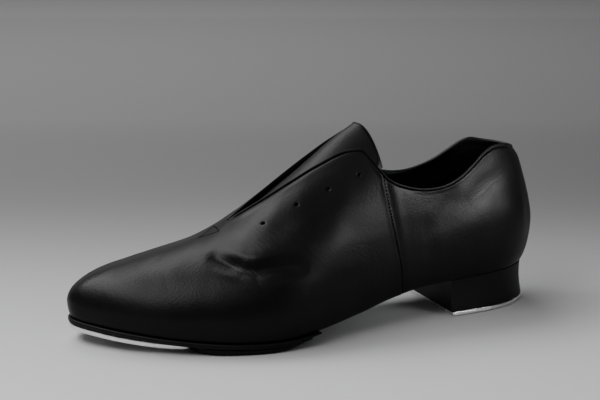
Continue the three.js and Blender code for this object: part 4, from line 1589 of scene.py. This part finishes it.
def patch_group() -> bpy.types.NodeTree:
    """Soft patches, for wear, polish and dust.

    Returns:
        Group with inputs Vector, Scale, Low and High, and output Mask.
    """
    tree, board, given, made = shader_group(
        "soft_patches", {"Scale": 30.0, "Low": 0.35, "High": 0.7}, ("Mask",))
    noise = board.add("ShaderNodeTexNoise", {"Detail": 4.0})
    ramp = board.add("ShaderNodeMapRange", interpolation_type="SMOOTHSTEP")
    board.join(given.outputs["Vector"], noise.inputs["Vector"])
    board.join(given.outputs["Scale"], noise.inputs["Scale"])
    board.join(noise.outputs["Fac"], ramp.inputs["Value"])
    board.join(given.outputs["Low"], ramp.inputs["From Min"])
    board.join(given.outputs["High"], ramp.inputs["From Max"])
    board.join(ramp.outputs["Result"], made.inputs["Mask"])
    return tree


def crease_group() -> bpy.types.NodeTree:
    """Fine wrinkles in a patch: long, nearly parallel valley lines that come and go.

    Returns:
        Group with inputs Vector, in the patch's own axes and units, Along, Across and Off, the
        patch's reach, and Depth, and output Height.
    """
    tree, board, given, made = shader_group(
        "leather_creases", {"Along": 2.0, "Across": 6.0, "Off": 3.0, "Depth": 0.1}, ("Height",))
    wave = board.add(
        "ShaderNodeTexWave", {"Scale": 0.314, "Distortion": 9.0, "Detail": 1.5, "Detail Scale": 1.4},
        bands_direction="Y")
    noise = board.add("ShaderNodeTexNoise", {"Scale": 0.55, "Detail": 1.0})
    for node in (wave, noise):
        board.join(given.outputs["Vector"], node.inputs["Vector"])
    reach = board.add("ShaderNodeCombineXYZ")
    for key, socket in zip(("Along", "Across", "Off"), reach.inputs):
        board.join(given.outputs[key], socket)
    part = board.add("ShaderNodeVectorMath", operation="DIVIDE")
    size = board.add("ShaderNodeVectorMath", operation="LENGTH")
    board.join(given.outputs["Vector"], part.inputs[0])
    board.join(reach.outputs["Vector"], part.inputs[1])
    board.join(part.outputs["Vector"], size.inputs[0])
    ramps = []
    for source, limits in (
            (wave.outputs["Fac"], {"From Min": 0.0, "From Max": 0.55}),
            (noise.outputs["Fac"], {"From Min": 0.26, "From Max": 0.62}),
            (size.outputs["Value"], {"To Min": 1.0, "To Max": 0.0})):
        ramp = board.add("ShaderNodeMapRange", limits, interpolation_type="SMOOTHSTEP")
        board.join(source, ramp.inputs["Value"])
        ramps.append(ramp.outputs["Result"])
    valley, strong, mask = ramps
    depth = board.math("MULTIPLY", board.math("MULTIPLY", mask, strong), given.outputs["Depth"])
    board.join(board.math("MULTIPLY", valley, depth), made.inputs["Height"])
    return tree


@dataclass
class Groups:
    """The shader groups that the finishes share."""

    grain: bpy.types.NodeTree = field(default_factory=grain_group)
    patches: bpy.types.NodeTree = field(default_factory=patch_group)
    creases: bpy.types.NodeTree = field(default_factory=crease_group)


@dataclass(frozen=True)
class Finish:
    """A surface finish with grain, patches and bump.

    Its tone runs from dark to light, and its roughness with it. Cells is the number of grain cells
    to a metre, and grain_height their height in metres.
    """

    name: str
    dark: Point
    light: Point
    rough: float
    rough_spread: float
    cells: float
    bump: float
    metallic: float = 0.0
    specular: float = 0.5
    stretch: Point = (1.0, 1.0, 1.0)
    tilt: float = 0.0
    grain_height: float = 0.0002
    patch_part: float = 0.7
    grain_part: float = 0.3
    creases: tuple[CreaseZone, ...] = ()

    def wrinkle(self, board: NodeBoard, place: bpy.types.NodeSocket, group: bpy.types.NodeTree,
                bump: bpy.types.Node) -> None:
        """Puts the fine wrinkles under the grain.

        Args:
            board: The material's nodes.
            place: Object coordinates.
            group: The shared group for wrinkles.
            bump: The grain's bump, which takes the wrinkled normal.
        """
        height = None
        for zone in self.creases:
            centre, turned, reach = zone.axes()
            unit = tuple(v * MILLIMETRE for v in (zone.run, zone.pitch, zone.off))
            mapping = board.add(
                "ShaderNodeMapping", {"Location": centre, "Rotation": turned, "Scale": unit},
                vector_type="TEXTURE")
            board.join(place, mapping.inputs["Vector"])
            values = dict(zip(("Along", "Across", "Off"), reach.tolist()), Depth=zone.depth)
            patch = board.add("ShaderNodeGroup", values, node_tree=group)
            board.join(mapping.outputs["Vector"], patch.inputs["Vector"])
            made = patch.outputs["Height"]
            height = made if height is None else board.math("ADD", height, made)
        under = board.add("ShaderNodeBump", {"Strength": 1.0, "Distance": MILLIMETRE})
        board.join(height, under.inputs["Height"])
        board.join(under.outputs["Normal"], bump.inputs["Normal"])

    def make(self, groups: Groups) -> bpy.types.Material:
        """Builds the material.

        Args:
            groups: Shared shader groups.

        Returns:
            The material.
        """
        material = bpy.data.materials.new(self.name)
        material.use_nodes = True
        board = NodeBoard(material.node_tree)
        shader = material.node_tree.nodes["Principled BSDF"]
        shader.inputs["Metallic"].default_value = self.metallic
        shader.inputs["Specular IOR Level"].default_value = self.specular
        place = board.add("ShaderNodeTexCoord")
        mapping = board.add(
            "ShaderNodeMapping", {"Scale": self.stretch, "Rotation": (0, 0, self.tilt)})
        board.join(place.outputs["Object"], mapping.inputs["Vector"])
        grain = board.add("ShaderNodeGroup", {"Cells": self.cells}, node_tree=groups.grain)
        patches = board.add("ShaderNodeGroup", node_tree=groups.patches)
        for node in (grain, patches):
            board.join(mapping.outputs["Vector"], node.inputs["Vector"])
        worn = board.math("MULTIPLY", patches.outputs["Mask"], self.patch_part)
        fine = board.math("MULTIPLY", grain.outputs["Tone"], self.grain_part)
        tone = board.math("ADD", worn, fine)
        colours = {"A": (*self.dark, 1), "B": (*self.light, 1)}
        mix = board.add("ShaderNodeMix", colours, data_type="RGBA")
        board.join(tone, mix.inputs["Factor"])
        board.join(mix.outputs["Result"], shader.inputs["Base Color"])
        least, most = self.rough - self.rough_spread, self.rough + self.rough_spread
        rough = board.add("ShaderNodeMapRange", {"To Min": least, "To Max": most})
        board.join(tone, rough.inputs["Value"])
        board.join(rough.outputs["Result"], shader.inputs["Roughness"])
        bump = board.add("ShaderNodeBump", {"Strength": self.bump, "Distance": self.grain_height})
        board.join(grain.outputs["Height"], bump.inputs["Height"])
        if self.creases:
            self.wrinkle(board, place.outputs["Object"], groups.creases, bump)
        board.join(bump.outputs["Normal"], shader.inputs["Normal"])
        return material


LEATHER = Finish(
    "soft_black_leather", (0.0012, 0.0012, 0.0013), (0.0022, 0.0022, 0.0024),
    rough=0.40, rough_spread=0.05, cells=1100.0, bump=0.32, specular=0.11, creases=CREASES)
TRIM = Finish(
    "piping_leather", (0.0015, 0.0015, 0.0016), (0.003, 0.003, 0.0032),
    rough=0.42, rough_spread=0.05, cells=1300.0, bump=0.2, specular=0.12)
LINING = Finish(
    "black_lining", (0.001, 0.001, 0.001), (0.002, 0.002, 0.002),
    rough=0.85, rough_spread=0.06, cells=1600.0, bump=0.1, specular=0.1)
RUBBER = Finish(
    "sole_rubber", (0.0012, 0.0012, 0.0012), (0.0024, 0.0024, 0.0025),
    rough=0.5, rough_spread=0.06, cells=1500.0, bump=0.25, specular=0.13)
HEEL_RUBBER = Finish(
    "heel_rubber", (0.0012, 0.0012, 0.0012), (0.0024, 0.0024, 0.0025),
    rough=0.48, rough_spread=0.06, cells=1500.0, bump=0.2, specular=0.12)
THREAD = Finish(
    "black_thread", (0.0006, 0.0006, 0.0006), (0.0012, 0.0012, 0.0012),
    rough=0.8, rough_spread=0.05, cells=3000.0, bump=0.2, specular=0.0)
# Near-black and without gloss: painted shade at the bottoms of the blind lace holes
HOLE_PAINTED_SHADE = Finish(
    "lace_hole_painted_shade", (0.0004, 0.0004, 0.0004), (0.0008, 0.0008, 0.0008),
    rough=0.9, rough_spread=0.03, cells=1600.0, bump=0.1, specular=0.0)
METAL = Finish(
    "tap_metal", (0.72, 0.72, 0.72), (0.9, 0.9, 0.9),
    rough=0.24, rough_spread=0.08, cells=500.0, bump=0.06, metallic=1.0,
    stretch=(0.6, 6.0, 1.0), tilt=0.7)


# The shoe


@dataclass(frozen=True)
class Stitching:
    """Rows of stitches along the ankle seam, on the tack below the throat and on the tongue.

    Shares and rises are places on the form. The tongue's numbers are shares of its length and of
    its half width. Depths, gaps from the seam and how proud the tack lies are millimetres.
    """

    seam_run: StitchRun = StitchRun(1.9, 1.3, 1.1)
    seam_rises: tuple[float, float] = (0.02, 0.985)
    seam_points: int = 200
    seam_behind: float = 0.3
    seam_depth: float = 0.58
    tack_run: StitchRun = StitchRun(1.1, 0.9, 0.5)
    tack_shares: Point = (0.7055, 0.7034, 0.7412)
    tack_rises: Point = (0.937, 0.951, 0.985)
    tack_outer: tuple[bool, bool, bool] = (True, False, True)
    tack_gap: float = 0.03
    tack_points: int = 24
    tack_proud: float = 0.05
    tongue_run: StitchRun = StitchRun(1.5, 1.0, 0.5)
    tongue_from: float = 0.45
    tongue_turn: float = 0.94
    tongue_rise: float = 0.045
    tongue_top: float = 0.985
    tongue_out: float = 0.96
    tongue_in: float = 0.1
    tongue_across: float = 0.85
    tongue_points: tuple[int, int, int] = (80, 12, 60)

    def ankle_seam(self) -> list[Array]:
        """Lines beside the seam on both sides, lying on the folded leather."""
        rise = np.linspace(*self.seam_rises, self.seam_points)
        share = np.full(rise.shape, LAST.seam - self.seam_behind / LAST.length)
        lines = []
        for side in Side:
            outer = np.full(rise.shape, side is Side.OUTER)
            lift = RELIEF.relief(LAST.place(share, rise, outer)) * smooth((1 - rise) / CALM_EDGE)
            lines.append(LAST.place(share, rise, outer, self.seam_depth - lift))
        return lines

    def throat_tack(self) -> list[Array]:
        """Sides of the small triangle below the throat."""
        corners = LAST.place(
            np.array(self.tack_shares), np.array(self.tack_rises), np.array(self.tack_outer))
        t = np.linspace(self.tack_gap, 1 - self.tack_gap, self.tack_points)[:, None]
        lines = []
        for a, b in zip(corners, np.roll(corners, -1, axis=0)):
            x, y, _ = (a + (b - a) * t).T
            flat = LAST.under(x, y, np.zeros(x.shape))
            lines.append(LAST.under(x, y, -RELIEF.relief(flat) - self.tack_proud))
        return lines

    def tongue_edge(self) -> list[Array]:
        """Lines just inside the tongue's edge, up either side and in to the middle of the top."""
        tongue = Tongue()
        side, corner, top = self.tongue_points
        bend = np.linspace(0, np.pi / 2, corner)
        along = np.concatenate([
            np.linspace(self.tongue_from, self.tongue_turn, side),
            self.tongue_turn + self.tongue_rise * np.sin(bend),
            np.full(top, self.tongue_top)])
        out = np.concatenate([
            np.full(side, self.tongue_out),
            self.tongue_out - self.tongue_in * (1 - np.cos(bend)),
            np.linspace(self.tongue_across, 0.0, top)])
        lines = []
        for way in (1, -1):
            x, y = tongue.spot(along, way * out)
            lines.append(LAST.under(x, y, np.full(x.shape, tongue.depth)))
        return lines


@dataclass
class Shoe:
    """The whole shoe, put together from its sub-assemblies."""

    groups: Groups
    leather_spacing: float = 0.75
    tucked: float = 2.6
    pieces: list[bpy.types.Object] = field(default_factory=list)

    def dress(self, piece: bpy.types.Object, finish: bpy.types.Material, slot: str,
              nodes: Iterable[str] = ()) -> None:
        """Gives a piece its material and its place.

        Args:
            piece: The piece.
            finish: Its material.
            slot: Name of a material slot; not used.
            nodes: CAD nodes that it replaces.
        """
        piece.data.materials.clear()
        piece.data.materials.append(finish)
        self.pieces.append(finish_piece(piece, nodes))

    def upper(self) -> None:
        """Front piece, heel piece, lining, piping and tongue."""
        leather, trim, lining = (f.make(self.groups) for f in (LEATHER, TRIM, LINING))
        front = FrontPiece("vamp_and_facings", LAST.seam, 1.0, 1.0, holes=LACE_HOLES,
                           spacing=self.leather_spacing)
        vamp = front.build()
        self.dress(vamp, leather, "upper_leather", ["upper"])
        # The faces deep in the blind lace holes get a near-black, glossless finish: painted shade
        vamp.data.materials.append(HOLE_PAINTED_SHADE.make(self.groups))
        for number in front.pit_faces(vamp.data).tolist():
            vamp.data.polygons[number].material_index = 1
        heel = HeelPiece("heel_quarters", 0.0, LAST.seam + self.tucked / LAST.length, 0.0,
                         spacing=self.leather_spacing, rows_shoulder=88)
        self.dress(heel.build(), leather, "upper_leather")
        inside = Lining("inner_lining", 0.0, 1.0, 1.0, spacing=2.0, coarse=1, rows_foot=8,
                        rows_shoulder=30, inside_depth=2.5, inside_lift=1.7)
        self.dress(inside.build(), lining, "insole_cloth")
        self.dress(Piping().build(), trim, "piping_leather", ["collar_piping"])
        self.dress(Tongue().build(), leather, "tongue_leather", ["tongue"])

    def sole(self) -> None:
        """Sole layers, heel and taps."""
        rubber, heel, metal = (f.make(self.groups) for f in (RUBBER, HEEL_RUBBER, METAL))
        layers = SoleUnit().layers()
        for node, finish, slot in (
                ("outsole", rubber, "sole_rubber"), ("ball_pad", rubber, "pad_rubber"),
                ("toe_tap", metal, "tap_metal"), ("heel_block", heel, "heel_rubber"),
                ("heel_tap", metal, "heel_tap_metal")):
            self.dress(layers[node].build(), finish, slot, [node])
        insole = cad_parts["insole"]
        insole.data.materials.clear()
        insole.data.materials.append(LINING.make(self.groups))

    def stitching(self) -> None:
        """The three rows of stitches."""
        thread = THREAD.make(self.groups)
        tree, rows = StitchTree(), Stitching()
        for name, paths, run, slot in (
                ("ankle_seam_stitches", rows.ankle_seam(), rows.seam_run, "upper_leather"),
                ("throat_tack_stitches", rows.throat_tack(), rows.tack_run, "upper_leather"),
                ("tongue_edge_stitches", rows.tongue_edge(), rows.tongue_run, "tongue_leather")):
            self.dress(tree.lay(name, paths, run, thread), thread, slot)


# Floor, lights and camera


def facing(direction: Vector) -> Euler:
    """Turn of a light or camera that faces a direction."""
    return direction.to_track_quat("-Z", "Y").to_euler()


@dataclass(frozen=True)
class Softbox:
    """A rectangular soft light.

    It hangs at place and faces aim, both in metres. Size is its width and height, power its watts
    and spread how wide its beam opens, in degrees.
    """

    name: str
    place: Point
    size: tuple[float, float]
    power: float
    aim: Point = (0.02, 0.0, 0.05)
    spread: float = 180.0

    def hang(self) -> None:
        """Adds the light."""
        data = bpy.data.lights.new(self.name, "AREA")
        data.shape = "RECTANGLE"
        data.size, data.size_y = self.size
        data.energy = self.power
        data.spread = math.radians(self.spread)
        light = add_object(self.name, data)
        light.visible_camera = False
        light.location = self.place
        light.rotation_euler = facing(Vector(self.aim) - Vector(self.place))


SOFTBOXES = (
    Softbox("key_softbox", (0.90, -0.07, 1.20), (1.9, 0.58), 36.0),
    Softbox("back_softbox", (0.20, -0.66, 1.21), (1.1, 0.6), 17.0),
    Softbox("fill_softbox", (0.0, 1.20, 1.15), (1.6, 0.8), 2.7),
    Softbox("front_softbox", (-0.45, 1.30, 0.16), (1.6, 0.28), 0.45, aim=(0.0, 0.0, 0.03)),
    Softbox("low_softbox", (0.1, -1.6, 0.55), (2.0, 0.7), 2.1),
    Softbox("heel_light", (-0.207, 0.19, 0.135), (0.15, 0.07), 0.066, (-0.105, 0.03, 0.080), 40.0),
)


@dataclass
class Studio:
    """Pale floor, soft light and a camera at the photograph's viewing angle.

    The floor's tones, a painted fall-off of the light, run along its span, from in front of the shoe to
    behind it, in metres.
    """

    azimuth: float = 23.5
    elevation: float = 13.9
    distance: float = 1.011
    lens: float = 105.0
    sensor: float = 36.0
    clip: tuple[float, float] = (0.05, 50.0)
    target: Point = (0.008338, -0.002543, 0.0729)
    floor_radius: float = 9.0
    floor_drop: float = 0.0002
    floor_sides: int = 64
    floor_span: tuple[float, float] = (-0.15, 1.35)
    # Painted light: the floor's colour is pale where the light falls round the shoe and greyer further
    # off
    floor_painted_light_tones: tuple[tuple[float, float], ...] = (
        (0.0, 0.42), (0.065, 0.36), (0.157, 0.25), (0.257, 0.108), (0.35, 0.094), (0.5, 0.098),
        (0.94, 0.215), (1.0, 0.215))
    floor_blue: float = 1.01
    surroundings: float = 0.12
    backdrop: float = 0.205

    def camera(self) -> None:
        """Places the camera."""
        a, e = math.radians(self.azimuth), math.radians(self.elevation)
        back = Vector((math.sin(a) * math.cos(e), math.cos(a) * math.cos(e), math.sin(e)))
        data = bpy.data.cameras.new("camera")
        data.lens, data.sensor_width = self.lens, self.sensor
        data.clip_start, data.clip_end = self.clip
        camera = add_object("camera", data)
        camera.location = Vector(self.target) + back * self.distance
        camera.rotation_euler = facing(-back)
        bpy.context.scene.camera = camera

    def floor(self) -> None:
        """Wide floor with painted light: pale round the shoe and greyer further off."""
        sides, radius = self.floor_sides, self.floor_radius
        angle = np.arange(sides) / sides * 2 * np.pi
        ring = [(radius * math.cos(a), radius * math.sin(a), -self.floor_drop) for a in angle]
        mesh = bpy.data.meshes.new("floor")
        mesh.from_pydata(ring, [], [list(range(sides))])
        floor = add_object("floor", mesh)
        material = bpy.data.materials.new("studio_floor")
        material.use_nodes = True
        board = NodeBoard(material.node_tree)
        shader = material.node_tree.nodes["Principled BSDF"]
        shader.inputs["Roughness"].default_value = 0.8
        shader.inputs["Specular IOR Level"].default_value = 0.2
        place = board.add("ShaderNodeTexCoord")
        depth = board.add("ShaderNodeVectorMath", operation="DOT_PRODUCT")
        bearing = math.radians(self.azimuth)
        depth.inputs[1].default_value = (-math.sin(bearing), -math.cos(bearing), 0.0)
        board.join(place.outputs["Object"], depth.inputs[0])
        low, high = self.floor_span
        span = board.add("ShaderNodeMapRange", {"From Min": low, "From Max": high})
        board.join(depth.outputs["Value"], span.inputs["Value"])
        # The ramp paints the floor's light and shade as colour along the span
        ramp = board.add("ShaderNodeValToRGB")
        board.join(span.outputs["Result"], ramp.inputs["Fac"])
        ramp.color_ramp.interpolation = "B_SPLINE"
        for at, _ in self.floor_painted_light_tones[1:-1]:
            ramp.color_ramp.elements.new(at)
        for stop, (at, tone) in zip(ramp.color_ramp.elements, self.floor_painted_light_tones):
            stop.position, stop.color = at, (tone, tone, tone * self.floor_blue, 1)
        board.join(ramp.outputs["Color"], shader.inputs["Base Color"])
        mesh.materials.append(material)

    def build(self) -> None:
        """Sets up the whole studio."""
        world = bpy.data.worlds.new("studio")
        world.use_nodes = True
        board = NodeBoard(world.node_tree)
        seen = board.add("ShaderNodeLightPath")
        tone = board.add(
            "ShaderNodeMapRange", {"To Min": self.surroundings, "To Max": self.backdrop})
        light = world.node_tree.nodes["Background"]
        light.inputs["Color"].default_value = (1.0, 1.0, 1.0, 1)
        board.join(seen.outputs["Is Camera Ray"], tone.inputs["Value"])
        board.join(tone.outputs["Result"], light.inputs["Strength"])
        bpy.context.scene.world = world
        self.floor()
        for softbox in SOFTBOXES:
            softbox.hang()
        self.camera()


def main() -> None:
    """Builds the shoe and its studio, and reports each piece."""
    logging.basicConfig(level=logging.INFO, format="%(name)s: %(message)s")
    studio = Studio()
    studio.build()
    shoe = Shoe(Groups())
    shoe.upper()
    shoe.sole()
    shoe.stitching()
    LOG.info("%d pieces", len(shoe.pieces))


if __name__ == "__main__":
    main()
